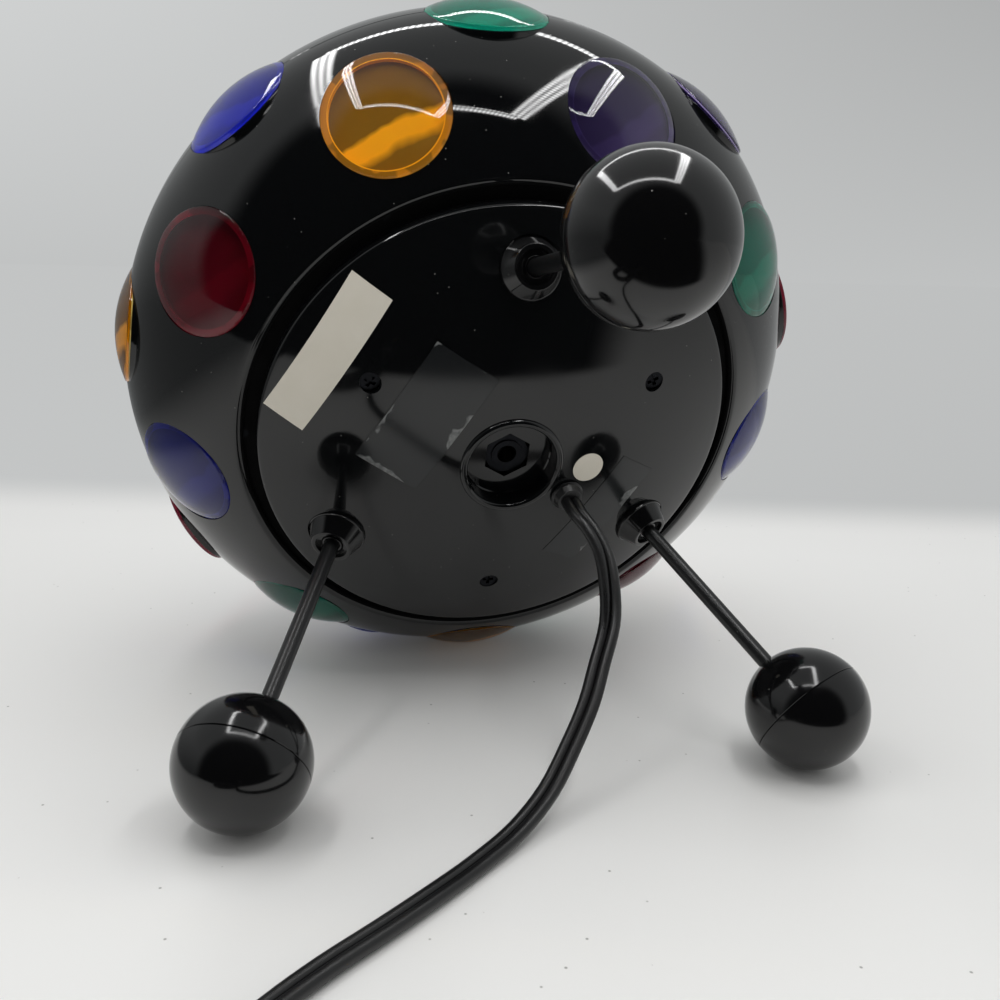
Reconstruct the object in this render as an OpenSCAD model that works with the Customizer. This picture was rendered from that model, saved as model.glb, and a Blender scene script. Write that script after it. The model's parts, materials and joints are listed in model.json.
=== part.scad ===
/* [Shell] */
// Widest outside diameter of the shell, at the seam
body_d = 190; // [186:1:194]
// Depth of the lower half, from the seam to the middle of the cap
low_h = 56; // [54:0.5:58]
// Height of the upper half, from the seam to the crown
up_h = 70; // [67:0.5:76]
// Wall thickness of both shell halves
wall = 2.4; // [2.2:0.1:2.8]
// Width of the shell's underside, from the widest circle in to the mouth
band_w = 29.7; // [29:0.1:31]
// Running gap between the mouth and the cap
mouth_gap = 3; // [2.6:0.1:3.4]

/* [Lenses] */
// Diameter of a lens over its rim
lens_d = 30; // [28:0.5:31]
// Height of the lens dome above its rim
lens_rise = 3.5; // [2.6:0.1:4.2]
// Thickness of the lens rim
lens_rim_t = 1; // [0.8:0.1:1.2]
// Number of lenses in each of the three wide rows
row_count = 9; // [8:1:9]
// Number of lenses in the row round the crown
top_count = 6; // [5:1:6]
// Profile angle of the row below the seam
low_row = 29; // [28:0.25:29.5]
// Profile angle of the row above the seam
high_row = 29; // [27:0.5:32]
// Profile angle of the row round the crown
top_row = 60; // [58:0.5:63]
// Turn of the shell about its axis as it lies
shell_turn = -2.9; // [-5:0.1:5]

/* [Cap and hub] */
// Wall thickness of the domed cap
cap_t = 2.6; // [2.4:0.1:3]
// Inside diameter of the hub well
well_d = 23; // [22:0.5:24]
// Depth of the hub well
well_depth = 5.5; // [4.5:0.25:6.5]
// Distance of the three cap screws in from the cap's edge
screw_inset = 20.6; // [19.5:0.1:22]
// Distance of the cord's exit from the wall of the hub well
exit_gap = 7.5; // [7:0.25:10]

/* [Legs] */
// Distance of the legs in from the cap's edge
leg_inset = 13.1; // [12:0.1:14.5]
// Distance that a leg splays outwards, from the cap to the ball's centre
leg_splay = 30.3; // [27:0.1:34]
// Height of the ball centres below the middle of the cap
foot_drop = 53.5; // [50:0.5:58]
// Diameter of a leg rod
rod_d = 4; // [3.6:0.1:4.4]
// Diameter of a ball foot
ball_d = 30.5; // [28:0.5:33]
// Base diameter of a leg collar
collar_d = 15; // [14:0.1:15.6]
// Height of a leg collar
collar_h = 4.8; // [4:0.1:5.6]

/* [Drive and light] */
// Diameter of the motor can
motor_d = 36; // [32:1:37]
// Height of the motor can
motor_h = 16; // [13:1:20]
// Outside diameter of the lampholder
holder_d = 25; // [23:0.5:26]
// Length of the lampholder
holder_l = 28; // [26:0.5:30]
// Widest diameter of the bulb
bulb_d = 33; // [28:1:36]
// Length of the bulb's glass
bulb_l = 66; // [60:1:70]

/* [Cord] */
// Width of the flat twin cord
cord_w = 5.4; // [5:0.1:5.8]
// Thickness of the flat twin cord
cord_t = 2.8; // [2.4:0.1:3.2]
// Length of the plug's body
plug_l = 30; // [26:1:36]
// Width of the plug's body
plug_w = 15; // [13:0.5:17]

/* [Hidden] */
$fn = 96;

AMBER = "#d98a12";
GREEN = "#0f7a4c";
BLUE = "#17349c";
RED = "#7d1220";
VIOLET = "#43208a";
BLACK = "#0d0d0f";
STEEL = "#b9bcc0";

// Clearances: a snug seat, a running gap, and the bite that keeps fused shapes one solid
snug = 0.1;
running = 0.4;
bite = 0.5;

// Radii of the shell, its mouth and the cap
shell_r = body_d / 2;
mouth_r = shell_r - band_w;
cap_r = mouth_r - mouth_gap;
profile_step = 3;

// Points, normals and levels on the spheroid: a profile angle is 0 at the seam and 90 at the crown
function half_h(u) = u < 0 ? low_h : up_h;
function skin_normal(u) = atan2(sin(u) / half_h(u), cos(u) / shell_r);
function skin_point(u) = [shell_r * cos(u), half_h(u) * sin(u)];
function low_angle(r) = -acos(r / shell_r);
function low_z(r) = skin_point(low_angle(r))[1];
function inner_r(z) = (shell_r - wall) * sqrt(1 - pow(z / (low_h - wall), 2));
function inner_cap_z(r) = -(low_h - cap_t) * sqrt(1 - pow(r / (shell_r - cap_t), 2));
function arc(a, h, from, to, step) =
    let (n = ceil(abs(to - from) / step))
    [for (i = [0:n]) let (u = from + (to - from) * i / n) [a * cos(u), h * sin(u)]];

// Local frame on the skin, with its Z along the outward normal
module on_skin(u, turn) {
    rotate([0, 0, turn])
        translate([skin_point(u)[0], 0, skin_point(u)[1]])
            rotate([0, 90 - skin_normal(u), 0])
                children();
}

// Lens sizes: the rim lies one bow of the shell's circle below the skin
lens_r = lens_d / 2;
lens_sink = shell_r - sqrt(shell_r * shell_r - lens_r * lens_r);
lens_seat = -lens_sink - lens_rim_t;
dome_r = (lens_r * lens_r + lens_rise * lens_rise) / (2 * lens_rise);
dome_centre = lens_rise - lens_sink - dome_r;
lens_hole_r = lens_r - 2;
lens_plug_h = 2.4;
boss_depth = 3.4;
boss_r = lens_r + 0.4;

// Rows of lenses: profile angle, count, turn of the first lens in half spacings
LOW = 0;
MID = 1;
HIGH = 2;
TOP = 3;
CROWN = 4;
rows = [
    [-low_row, row_count, 0],
    [0, row_count, 1],
    [high_row, row_count, 0],
    [top_row, top_count, 0],
    [90, 1, 0]
];
row_colours = [
    [AMBER, GREEN, BLUE, RED, AMBER, VIOLET, GREEN, BLUE, RED],
    [BLUE, RED, AMBER, BLUE, GREEN, VIOLET, RED, AMBER, GREEN],
    [GREEN, BLUE, RED, AMBER, VIOLET, GREEN, BLUE, RED, AMBER],
    [RED, VIOLET, AMBER, GREEN, BLUE, AMBER],
    [GREEN]
];
function lens_turn(row, i) = 90 + shell_turn + (i + rows[row][2] / 2) * 360 / rows[row][1];

// How far the lamp reaches along a direction: shell, lens domes and balls
function spin(r, z, turn) = [r * cos(turn), r * sin(turn), z];
function shell_reach(d) = norm([shell_r * d[0], shell_r * d[1], (d[2] < 0 ? low_h : up_h) * d[2]]);
function lens_normal(row, i) =
    let (a = skin_normal(rows[row][0]))
    spin(cos(a), sin(a), lens_turn(row, i));
function lens_point(row, i) =
    let (p = skin_point(rows[row][0]))
    spin(p[0], p[1], lens_turn(row, i));
function lens_reach(d) = max([
    for (row = [LOW:CROWN]) for (i = [0:rows[row][1] - 1])
        lens_normal(row, i) * d * dome_r > dome_r - lens_rise
            ? (lens_point(row, i) + dome_centre * lens_normal(row, i)) * d + dome_r
            : 0
]);

// Legs: local Z runs from the cap outwards to the ball's centre
leg_turns = [150, 30, 270];
leg_root = [cap_r - leg_inset, low_z(cap_r - leg_inset)];
leg_foot = [leg_root[0] + leg_splay, -low_h - foot_drop];
leg_l = norm(leg_foot - leg_root);
leg_tilt = atan2(leg_foot[0] - leg_root[0], leg_foot[1] - leg_root[1]);
ball_r = ball_d / 2;
function ball_reach(d) = max([for (turn = leg_turns) spin(leg_foot[0], leg_foot[1], turn) * d]) + ball_r;

// The lamp lies on two balls and on its lowest lens: the tilt is where both reach the floor
function down(tip) = [0, cos(tip), -sin(tip)];
function tip_error(tip) = ball_reach(down(tip)) - max(shell_reach(down(tip)), lens_reach(down(tip)));
function find_tip(low, high, steps) =
    let (mid = (low + high) / 2)
    steps == 0 ? mid : tip_error(mid) > 0 ? find_tip(low, mid, steps - 1) : find_tip(mid, high, steps - 1);
flattest_tip = 5;
steepest_tip = 60;
tip_steps = 40;
tip = find_tip(flattest_tip, steepest_tip, tip_steps);
floor_h = ball_reach(down(tip));

// The origin is on the floor under the middle of the lying lamp
function reach(d) = max(shell_reach(d), lens_reach(d), ball_reach(d));
back = [0, sin(tip), cos(tip)];
x_mid = (reach([1, 0, 0]) - reach([-1, 0, 0])) / 2;
y_mid = (reach(back) - reach(-back)) / 2;
function lying_dir(v) = [v[0], v[1] * sin(tip) + v[2] * cos(tip), v[2] * sin(tip) - v[1] * cos(tip)];
function lying_point(p) = lying_dir(p) + [-x_mid, -y_mid, floor_h];

module lying() {
    translate([-x_mid, -y_mid, floor_h])
        rotate([tip - 90, 0, 0])
            children();
}

// Bearing: the ring's rib runs round a track wall on the cap
track_inset = 2.6;
track_t = 2.8;
track_r = cap_r - track_inset;
track_in_r = track_r - track_t;
rib_r = track_r + running;
rib_t = 1.6;
rib_h = 3;

// Levels of the bearing: flange in the shell, ring on it, chassis above
shelf_rise = 20.5;
shelf_z = shelf_rise - low_h;
flange_t = 1.8;
flange_r = rib_r + rib_t + running;
ring_t = 4;
ring_top = shelf_z + ring_t;
track_top = shelf_z - running;
low_normal = skin_normal(-low_row);
low_boss_r = skin_point(-low_row)[0] + (lens_seat - boss_depth) * cos(low_normal)
    + boss_r * sin(low_normal);
ring_out_r = min(inner_r(shelf_z), low_boss_r) - running;
chassis_gap = 0.6;
chassis_z = ring_top + chassis_gap;
chassis_t = 2;
chassis_top = chassis_z + chassis_t;
ring_screw_r = (flange_r + ring_out_r) / 2;
ring_screw_count = 6;
ring_screw_d = 2.2;
ring_screw_head_d = 4;

// Gears: the ring's teeth point inwards and drive round the small pinion
tooth_module = 1.5;
ring_rim = 2;
ring_teeth = 2 * floor((track_in_r - ring_rim) / tooth_module);
pinion_teeth = 12;
ring_pitch_r = tooth_module * ring_teeth / 2;
pinion_pitch_r = tooth_module * pinion_teeth / 2;
gear_distance = ring_pitch_r - pinion_pitch_r;
backlash = 0.5;
tooth_half = (PI * tooth_module / 2 - backlash) / 2;
addendum = 1;
dedendum = 1.7;
flank = tan(20);
motor_turn = leg_turns[0];
motor_shaft_d = 4;

// Corners of one tooth, from the root of one flank to the root of the other
function tooth(root_r, tip_r, pitch_r, turn) =
    let (root = (tooth_half + abs(root_r - pitch_r) * flank) / root_r * 180 / PI)
    let (crest = (tooth_half - abs(tip_r - pitch_r) * flank) / tip_r * 180 / PI)
    [for (p = [[root_r, -root], [tip_r, -crest], [tip_r, crest], [root_r, root]])
        [p[0] * cos(turn + p[1]), p[0] * sin(turn + p[1])]];
function gear_outline(teeth, root_r, tip_r, pitch_r, first) =
    [for (i = [0:teeth - 1]) each tooth(root_r, tip_r, pitch_r, first + i * 360 / teeth)];

// Hub, posts and the cord's way out
well_r = well_d / 2;
hub_floor = well_depth - low_h;
hub_t = 6;
hub_top = hub_floor + hub_t;
hub_wall = 2.4;
bead = 1;
hex_flat = 11;
hex_pocket_h = 4;
nipple_d = 8;
nipple_grip = 4.5;
screw_r = cap_r - screw_inset;
screw_turns = [90, 210, 330];
screw_head_d = 5;
screw_d = 3;
screw_sink = 2.4;
screw_seat = low_z(screw_r) + screw_sink;
post_d = 7;
nut_boss_h = 4;
exit_turn = 31;
exit_r = well_r + exit_gap;
exit_u = low_angle(exit_r);
bush_d = 7;
bush_flange_d = 8.8;
bush_flange_t = 1;
bush_nose_h = 2;
bush_depth = 5;
holder_top = hub_top + holder_l;
cap_bore = 13;
cap_bore_h = 16;
bulb_cap_d = 12;
block_size = [10, 20, 9];
block_place = [screw_r - block_size[0] / 2, 0, chassis_top];
wire_d = 2;
wire_rise = 6;

// Collar, socket and ball sizes along a leg
spot_depth = 1;
socket_depth = 6.5;
socket_floor = 2;
socket_d = 11;
rod_grip = 12;
rod_end = leg_l - ball_r + rod_grip;
ball_wall = 2.4;

module on_leg(i) {
    rotate([0, 0, leg_turns[i - 1]])
        translate([leg_root[0], 0, leg_root[1]])
            rotate([0, leg_tilt, 0])
                children();
}

// One lens round its own axis
module lens() {
    translate([0, 0, lens_seat - lens_plug_h])
        cylinder(r = lens_hole_r - snug, h = lens_plug_h + bite);
    translate([0, 0, lens_seat])
        cylinder(r = lens_r, h = lens_rim_t);
    intersection() {
        translate([0, 0, dome_centre])
            sphere(r = dome_r);
        translate([0, 0, -lens_sink - bite])
            cylinder(r = lens_r, h = lens_rise + 2 * bite);
    }
}

module lens_group(row, colour) {
    names = row_colours[row];
    color(colour)
        lying()
            for (i = [0:rows[row][1] - 1])
                if (names[i % len(names)] == colour)
                    on_skin(rows[row][0], lens_turn(row, i))
                        lens();
}

// Seat, pocket and hole that a row of lenses needs in the shell
module at_row(row) {
    for (i = [0:rows[row][1] - 1])
        on_skin(rows[row][0], lens_turn(row, i))
            children();
}

module lens_boss() {
    translate([0, 0, lens_seat - boss_depth])
        cylinder(r = boss_r, h = boss_depth);
}

module lens_cut() {
    translate([0, 0, lens_seat])
        cylinder(r = lens_r + snug, h = 2 * lens_rise);
    translate([0, 0, lens_seat - boss_depth - bite])
        cylinder(r = lens_hole_r, h = boss_depth + 2 * bite);
}

// Half space above or below the seam, as a wide disc
module half_space(side) {
    translate([0, 0, side > 0 ? 0 : -low_h])
        cylinder(r = body_d, h = side > 0 ? up_h : low_h);
}

// Profile of the lower half: skin, rolled lip, inward flange, inner face, and a tongue at the seam
lip_r = 1.6;
lip_u = low_angle(mouth_r + 1.5 * lip_r);
lip_centre = skin_point(lip_u) - lip_r * [cos(skin_normal(lip_u)), sin(skin_normal(lip_u))];
tongue_r = shell_r - wall - 0.3;
tongue_t = 1.6;
tongue_h = 3;
tongue_root = 8;

function lower_profile() = concat(
    arc(shell_r, low_h, 0, lip_u, profile_step),
    [for (i = [1:6]) let (a = skin_normal(lip_u) + (-180 - skin_normal(lip_u)) * i / 6)
        lip_centre + lip_r * [cos(a), sin(a)]],
    [[lip_centre[0] - lip_r, shelf_z - flange_t], [flange_r, shelf_z - flange_t], [flange_r, shelf_z]],
    arc(shell_r - wall, low_h - wall, -asin(-shelf_z / (low_h - wall)), 0, profile_step)
);

// Ring inside the seam that centres the upper half, cut away where the seam's lenses sit
module seam_tongue() {
    difference() {
        rotate_extrude()
            polygon([
                [tongue_r - tongue_t, -tongue_root], [tongue_r + 1, -tongue_root], [tongue_r + 1, 0],
                [tongue_r, 0], [tongue_r, tongue_h], [tongue_r - tongue_t, tongue_h]
            ]);
        at_row(MID)
            translate([0, 0, -2 * tongue_root])
                cylinder(r = boss_r + snug, h = 3 * tongue_root);
    }
}

module lower_shell() {
    color(BLACK)
        lying()
            difference() {
                union() {
                    rotate_extrude()
                        polygon(lower_profile());
                    seam_tongue();
                    at_row(LOW)
                        lens_boss();
                    intersection() {
                        at_row(MID)
                            lens_boss();
                        half_space(-1);
                    }
                }
                at_row(LOW)
                    lens_cut();
                at_row(MID)
                    lens_cut();
                for (i = [1:ring_screw_count])
                    rotate([0, 0, i * 360 / ring_screw_count])
                        translate([ring_screw_r, 0, shelf_z - flange_t - bite])
                            cylinder(d = ring_screw_d, h = flange_t + 2 * bite);
            }
}

module upper_shell() {
    color(BLACK)
        lying()
            difference() {
                union() {
                    rotate_extrude()
                        polygon(concat(
                            arc(shell_r, up_h, 0, 90, profile_step),
                            arc(shell_r - wall, up_h - wall, 90, 0, profile_step)
                        ));
                    for (row = [HIGH, TOP, CROWN])
                        at_row(row)
                            lens_boss();
                    intersection() {
                        at_row(MID)
                            lens_boss();
                        half_space(1);
                    }
                }
                for (row = [MID, HIGH, TOP, CROWN])
                    at_row(row)
                        lens_cut();
            }
}

module turn_ring() {
    color("#d8d8d2")
        lying()
            difference() {
                union() {
                    translate([0, 0, shelf_z])
                        linear_extrude(ring_t)
                            difference() {
                                circle(r = ring_out_r);
                                polygon(gear_outline(ring_teeth, ring_pitch_r + dedendum,
                                    ring_pitch_r - addendum, ring_pitch_r,
                                    motor_turn + 180 / ring_teeth));
                            }
                    translate([0, 0, shelf_z - rib_h])
                        difference() {
                            cylinder(r = rib_r + rib_t, h = rib_h + bite);
                            translate([0, 0, -bite])
                                cylinder(r = rib_r, h = rib_h + 3 * bite);
                        }
                }
                for (i = [1:ring_screw_count])
                    rotate([0, 0, i * 360 / ring_screw_count])
                        translate([ring_screw_r, 0, shelf_z - bite])
                            cylinder(d = ring_screw_d, h = ring_t + 2 * bite);
            }
}

// Pan head screw standing on its seat at the origin, head up, with a cross in its head
module pan_screw(head_d, shank_d, shank_l) {
    head_h = 1.5;
    slot_w = 0.9;
    slot_l = 0.6 * head_d;
    difference() {
        union() {
            cylinder(d = head_d, h = head_h, $fn = 32);
            translate([0, 0, -shank_l])
                cylinder(d = shank_d, h = shank_l + bite, $fn = 32);
        }
        for (turn = [0, 90])
            rotate([0, 0, turn])
                translate([-slot_l / 2, -slot_w / 2, head_h - 0.8])
                    cube([slot_l, slot_w, 1]);
    }
}

module ring_screws() {
    color(STEEL)
        lying()
            for (i = [1:ring_screw_count])
                rotate([0, 0, i * 360 / ring_screw_count])
                    translate([ring_screw_r, 0, ring_top])
                        pan_screw(ring_screw_head_d, ring_screw_d, ring_t + flange_t);
}

module drive_pinion() {
    color("#e4e0cf")
        lying()
            rotate([0, 0, motor_turn])
                translate([gear_distance, 0, shelf_z]) {
                    linear_extrude(ring_t)
                        polygon(gear_outline(pinion_teeth, pinion_pitch_r - dedendum,
                            pinion_pitch_r + addendum, pinion_pitch_r, 0));
                    cylinder(d = motor_shaft_d, h = chassis_top + 5 - shelf_z);
                }
}

// Profile of the cap: well, rolled bead, domed skin, inner face with the bearing track
edge_r = 1.2;
edge_u = low_angle(cap_r - 0.6 * edge_r);
bead_z = low_z(well_r + bead) - bead;
cap_shelf_z = inner_cap_z(cap_r - 2);

function cap_profile() = concat(
    [[0, hub_floor], [well_r, hub_floor]],
    [for (a = [180:30:360]) [well_r + bead + bead * cos(a), bead_z + bead + bead * sin(a)]],
    arc(shell_r, low_h, low_angle(well_r + 2 * bead), edge_u, profile_step / 2),
    [[cap_r - 0.2 * edge_r, skin_point(edge_u)[1] + 0.3 * edge_r], [cap_r, skin_point(edge_u)[1] + edge_r]],
    [[cap_r, cap_shelf_z], [track_r, cap_shelf_z], [track_r, track_top], [track_in_r, track_top]],
    arc(shell_r - cap_t, low_h - cap_t, -acos(track_in_r / (shell_r - cap_t)),
        -acos((well_r + hub_wall) / (shell_r - cap_t)), profile_step),
    [[well_r + hub_wall, hub_top], [0, hub_top]]
);

module base_cap() {
    color(BLACK)
        lying()
            difference() {
                union() {
                    rotate_extrude()
                        polygon(cap_profile());
                    for (turn = screw_turns)
                        rotate([0, 0, turn])
                            translate([screw_r, 0, inner_cap_z(screw_r) - bite])
                                cylinder(d = post_d, h = chassis_z - inner_cap_z(screw_r) + bite);
                    for (i = [1:3])
                        on_leg(i)
                            translate([0, 0, -socket_depth - socket_floor])
                                cylinder(d = socket_d, h = socket_depth + socket_floor - spot_depth);
                }
                translate([0, 0, hub_floor - bite])
                    cylinder(d = nipple_d + 2 * snug, h = hub_t + 2 * bite);
                translate([0, 0, hub_floor - bite])
                    cylinder(d = (hex_flat + 2 * snug) / cos(30), h = hex_pocket_h + bite, $fn = 6);
                for (turn = screw_turns)
                    rotate([0, 0, turn])
                        translate([screw_r, 0, screw_seat]) {
                            cylinder(d = screw_d + 2 * snug, h = low_h);
                            translate([0, 0, -2 * screw_sink])
                                cylinder(d = screw_head_d + 2 * snug, h = 2 * screw_sink);
                        }
                for (i = [1:3])
                    on_leg(i) {
                        translate([0, 0, -socket_depth])
                            cylinder(d = rod_d + snug, h = 2 * socket_depth);
                        translate([0, 0, -spot_depth])
                            cylinder(d = collar_d + 2 * snug, h = 4);
                    }
                on_skin(exit_u, exit_turn)
                    translate([0, 0, -2 * bush_depth])
                        cylinder(d = bush_d + 2 * snug, h = 3 * bush_depth);
            }
}

module cap_screws() {
    color(STEEL)
        lying()
            for (turn = screw_turns)
                rotate([0, 0, turn])
                    translate([screw_r, 0, screw_seat])
                        rotate([180, 0, 0])
                            pan_screw(screw_head_d, screw_d, chassis_top + nut_boss_h - 1 - screw_seat);
}

module hub_nut() {
    nut_h = 3;
    color(STEEL)
        lying()
            translate([0, 0, hub_floor + hex_pocket_h - nut_h])
                difference() {
                    cylinder(d = hex_flat / cos(30), h = nut_h, $fn = 6);
                    translate([0, 0, -bite])
                        cylinder(d = nipple_d, h = nut_h + 2 * bite);
                }
}

module hub_nipple() {
    color("#b08d3c")
        lying()
            translate([0, 0, hub_floor + 0.6])
                difference() {
                    cylinder(d = nipple_d - snug, h = hub_t + nipple_grip - 0.6);
                    translate([0, 0, -bite])
                        cylinder(d = nipple_d - 3, h = hub_t + nipple_grip + 2 * bite);
                }
}

module chassis() {
    disc_r = ring_pitch_r - 3;
    window_r = exit_r + bush_d / 2;
    arm_r = track_in_r + 1;
    arm_w = 12;
    color("#9aa0a6")
        lying()
            difference() {
                union() {
                    translate([0, 0, chassis_z])
                        cylinder(r = disc_r, h = chassis_t);
                    for (turn = screw_turns)
                        rotate([0, 0, turn]) {
                            translate([disc_r - 5, -arm_w / 2, chassis_z])
                                cube([arm_r - disc_r + 5, arm_w, chassis_t]);
                            translate([screw_r, 0, chassis_z])
                                cylinder(d = post_d, h = chassis_t + nut_boss_h);
                        }
                }
                translate([0, 0, chassis_z - bite])
                    cylinder(r = window_r, h = chassis_t + 2 * bite);
                rotate([0, 0, motor_turn])
                    translate([gear_distance, 0, chassis_z - bite])
                        cylinder(d = motor_shaft_d + 2 * running, h = chassis_t + 2 * bite);
                for (turn = screw_turns)
                    rotate([0, 0, turn])
                        translate([screw_r, 0, chassis_z - bite])
                            cylinder(d = screw_d + snug, h = chassis_t + nut_boss_h + 2 * bite);
            }
}

module motor() {
    ear_r = 4;
    color("#8f9397")
        lying()
            rotate([0, 0, motor_turn])
                translate([gear_distance, 0, chassis_top])
                    difference() {
                        union() {
                            cylinder(d = motor_d, h = motor_h);
                            for (side = [-1, 1])
                                translate([0, side * motor_d / 2, 0])
                                    cylinder(r = ear_r, h = 1.5);
                        }
                        translate([0, 0, -bite])
                            cylinder(d = motor_shaft_d + 2 * running, h = 6 + bite);
                    }
}

module lampholder() {
    color("#e9e4d6")
        lying()
            translate([0, 0, hub_top])
                difference() {
                    union() {
                        cylinder(d = holder_d, h = holder_l - 6);
                        cylinder(d = holder_d - 4, h = holder_l);
                    }
                    translate([0, 0, -bite])
                        cylinder(d = nipple_d + snug, h = nipple_grip + bite);
                    translate([0, 0, holder_l - cap_bore_h])
                        cylinder(d = cap_bore, h = cap_bore_h + bite);
                }
}

module bulb_cap() {
    color("#c9b27a")
        lying()
            translate([0, 0, holder_top - cap_bore_h])
                cylinder(d = bulb_cap_d, h = cap_bore_h + 2);
}

// Candle outline: a neck, a full belly at a third of the length and a pointed tip
function candle_r(t) = bulb_cap_d / 2 * (1 - t * t) + (bulb_d - bulb_cap_d) / 2 * sin(180 * pow(t, 0.62));
candle_steps = 20;

module bulb_glass() {
    color("#f4f1e6")
        lying()
            translate([0, 0, holder_top + 2])
                rotate_extrude()
                    polygon(concat(
                        [[0, 0]],
                        [for (i = [0:candle_steps - 1])
                            let (t = i / candle_steps)
                            [candle_r(t), bulb_l * t]],
                        [[0, bulb_l]]
                    ));
}

module terminal_block() {
    color("#efeeea")
        lying()
            translate(block_place - [block_size[0] / 2, block_size[1] / 2, 0])
                difference() {
                    cube(block_size);
                    for (i = [0:2])
                        translate([block_size[0] / 2, 4 + 6 * i, 2])
                            cylinder(d = 3, h = block_size[2], $fn = 24);
                }
}

// Straight round lead from one point to another
module lead(from, to, d) {
    v = to - from;
    translate(from)
        rotate([0, acos(v[2] / norm(v)), atan2(v[1], v[0])])
            cylinder(d = d, h = norm(v), $fn = 16);
}

module lead_wires() {
    way_in = skin_normal(exit_u);
    inside = skin_point(exit_u) - (bush_depth + running) * [cos(way_in), sin(way_in)];
    start = spin(inside[0], inside[1], exit_turn);
    bend = spin(exit_r, chassis_top + wire_rise, exit_turn);
    block_in = block_place + [-block_size[0] / 2, 0, wire_rise];
    block_out = block_in - [0, 2 * wire_d, wire_d];
    holder_side = [sqrt(pow(holder_d / 2, 2) - pow(block_out[1], 2)) + running, block_out[1], block_out[2]];
    knee = block_in - [2 * wire_d, 0, 0];
    color("#3a3a3c")
        lying() {
            lead(start, bend, wire_d);
            lead(bend, knee, wire_d);
            lead(knee, block_in, wire_d);
            for (p = [bend, knee])
                translate(p)
                    sphere(d = wire_d + running, $fn = 16);
            lead(holder_side, block_out, wire_d);
        }
}

module leg_rod(i) {
    color(BLACK)
        lying()
            on_leg(i)
                translate([0, 0, -socket_depth])
                    cylinder(d = rod_d, h = socket_depth + rod_end);
}

module leg_collar(i) {
    foot_h = 1.2;
    top_d = 0.7 * collar_d;
    recess_d = 0.56 * collar_d;
    color(BLACK)
        lying()
            on_leg(i)
                translate([0, 0, -spot_depth])
                    difference() {
                        union() {
                            cylinder(d = collar_d, h = foot_h);
                            translate([0, 0, foot_h])
                                cylinder(d1 = collar_d - 0.6, d2 = top_d, h = collar_h + spot_depth - foot_h);
                        }
                        translate([0, 0, -bite])
                            cylinder(d = rod_d + snug, h = collar_h + spot_depth + 2 * bite);
                        translate([0, 0, collar_h + spot_depth - 1.4])
                            cylinder(d = recess_d, h = 2);
                    }
}

// Half of a hollow ball centred on the origin, with a fine groove at the seam
module ball_half(side) {
    groove = 0.35;
    difference() {
        intersection() {
            sphere(r = ball_r);
            translate([0, 0, side > 0 ? 0 : -ball_d])
                cylinder(r = ball_d, h = ball_d);
        }
        sphere(r = ball_r - ball_wall);
        difference() {
            translate([0, 0, -groove])
                cylinder(r = ball_d, h = 2 * groove);
            translate([0, 0, -ball_r])
                cylinder(r = ball_r - groove, h = ball_d);
        }
    }
}

module ball_inner(i) {
    boss_d = rod_d + 5;
    color(BLACK)
        lying()
            on_leg(i)
                difference() {
                    union() {
                        translate([0, 0, leg_l])
                            ball_half(-1);
                        translate([0, 0, leg_l - ball_r + ball_wall / 2])
                            cylinder(d = boss_d, h = ball_r - ball_wall);
                    }
                    translate([0, 0, leg_l - ball_d])
                        cylinder(d = rod_d + snug, h = rod_end - leg_l + ball_d);
                }
}

module ball_outer(i) {
    color(BLACK)
        lying()
            on_leg(i)
                translate([0, 0, leg_l])
                    ball_half(1);
}

module cord_bush() {
    color("#161618")
        lying()
            on_skin(exit_u, exit_turn) {
                translate([0, 0, -bush_depth])
                    cylinder(d = bush_d, h = bush_depth + bite, $fn = 48);
                cylinder(d = bush_flange_d, h = bush_flange_t, $fn = 48);
                translate([0, 0, bush_flange_t])
                    cylinder(d1 = bush_flange_d - 1, d2 = cord_w + 1, h = bush_nose_h, $fn = 48);
            }
}

// Cord: tube of triangles through rings of points, closed at both ends
module tube(rings) {
    n = len(rings[0]);
    last = len(rings) - 1;
    middle = [for (end = [rings[0], rings[last]]) [for (p = end) 1 / n] * end];
    wall_faces = [for (i = [0:last - 1]) for (j = [0:n - 1])
        let (a = i * n + j, b = i * n + (j + 1) % n)
        each [[a, a + n, b + n], [a, b + n, b]]];
    end_faces = [for (j = [0:n - 1])
        let (next = (j + 1) % n, base = last * n)
        each [[(last + 1) * n, j, next], [(last + 1) * n + 1, base + next, base + j]]];
    polyhedron(
        points = concat([for (ring = rings) each ring], middle),
        faces = concat(wall_faces, end_faces)
    );
}

function unit(v) = v / norm(v);
function along(path, i) = unit(path[min(i + 1, len(path) - 1)] - path[max(i - 1, 0)]);
function ring_at(p, t, roll, section) =
    let (level = unit(cross([0, 0, 1], t)))
    let (rise = cross(t, level))
    let (wide = level * cos(roll) + rise * sin(roll))
    let (thick = cross(t, wide))
    [for (s = section) p + s[0] * wide + s[1] * thick];
function path_length(path) = len(path) < 2 ? 0 : [for (i = [1:len(path) - 1]) norm(path[i] - path[i - 1])] *
    [for (i = [1:len(path) - 1]) 1];

// Two round cores side by side with a groove between them
lobe = (cord_w - cord_t) / 2;
twin_section = concat(
    [for (a = [-90:45:90]) [lobe + cord_t / 2 * cos(a), cord_t / 2 * sin(a)]],
    [[0, cord_t * 0.36]],
    [for (a = [90:45:270]) [-lobe + cord_t / 2 * cos(a), cord_t / 2 * sin(a)]],
    [[0, -cord_t * 0.36]]
);

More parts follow.
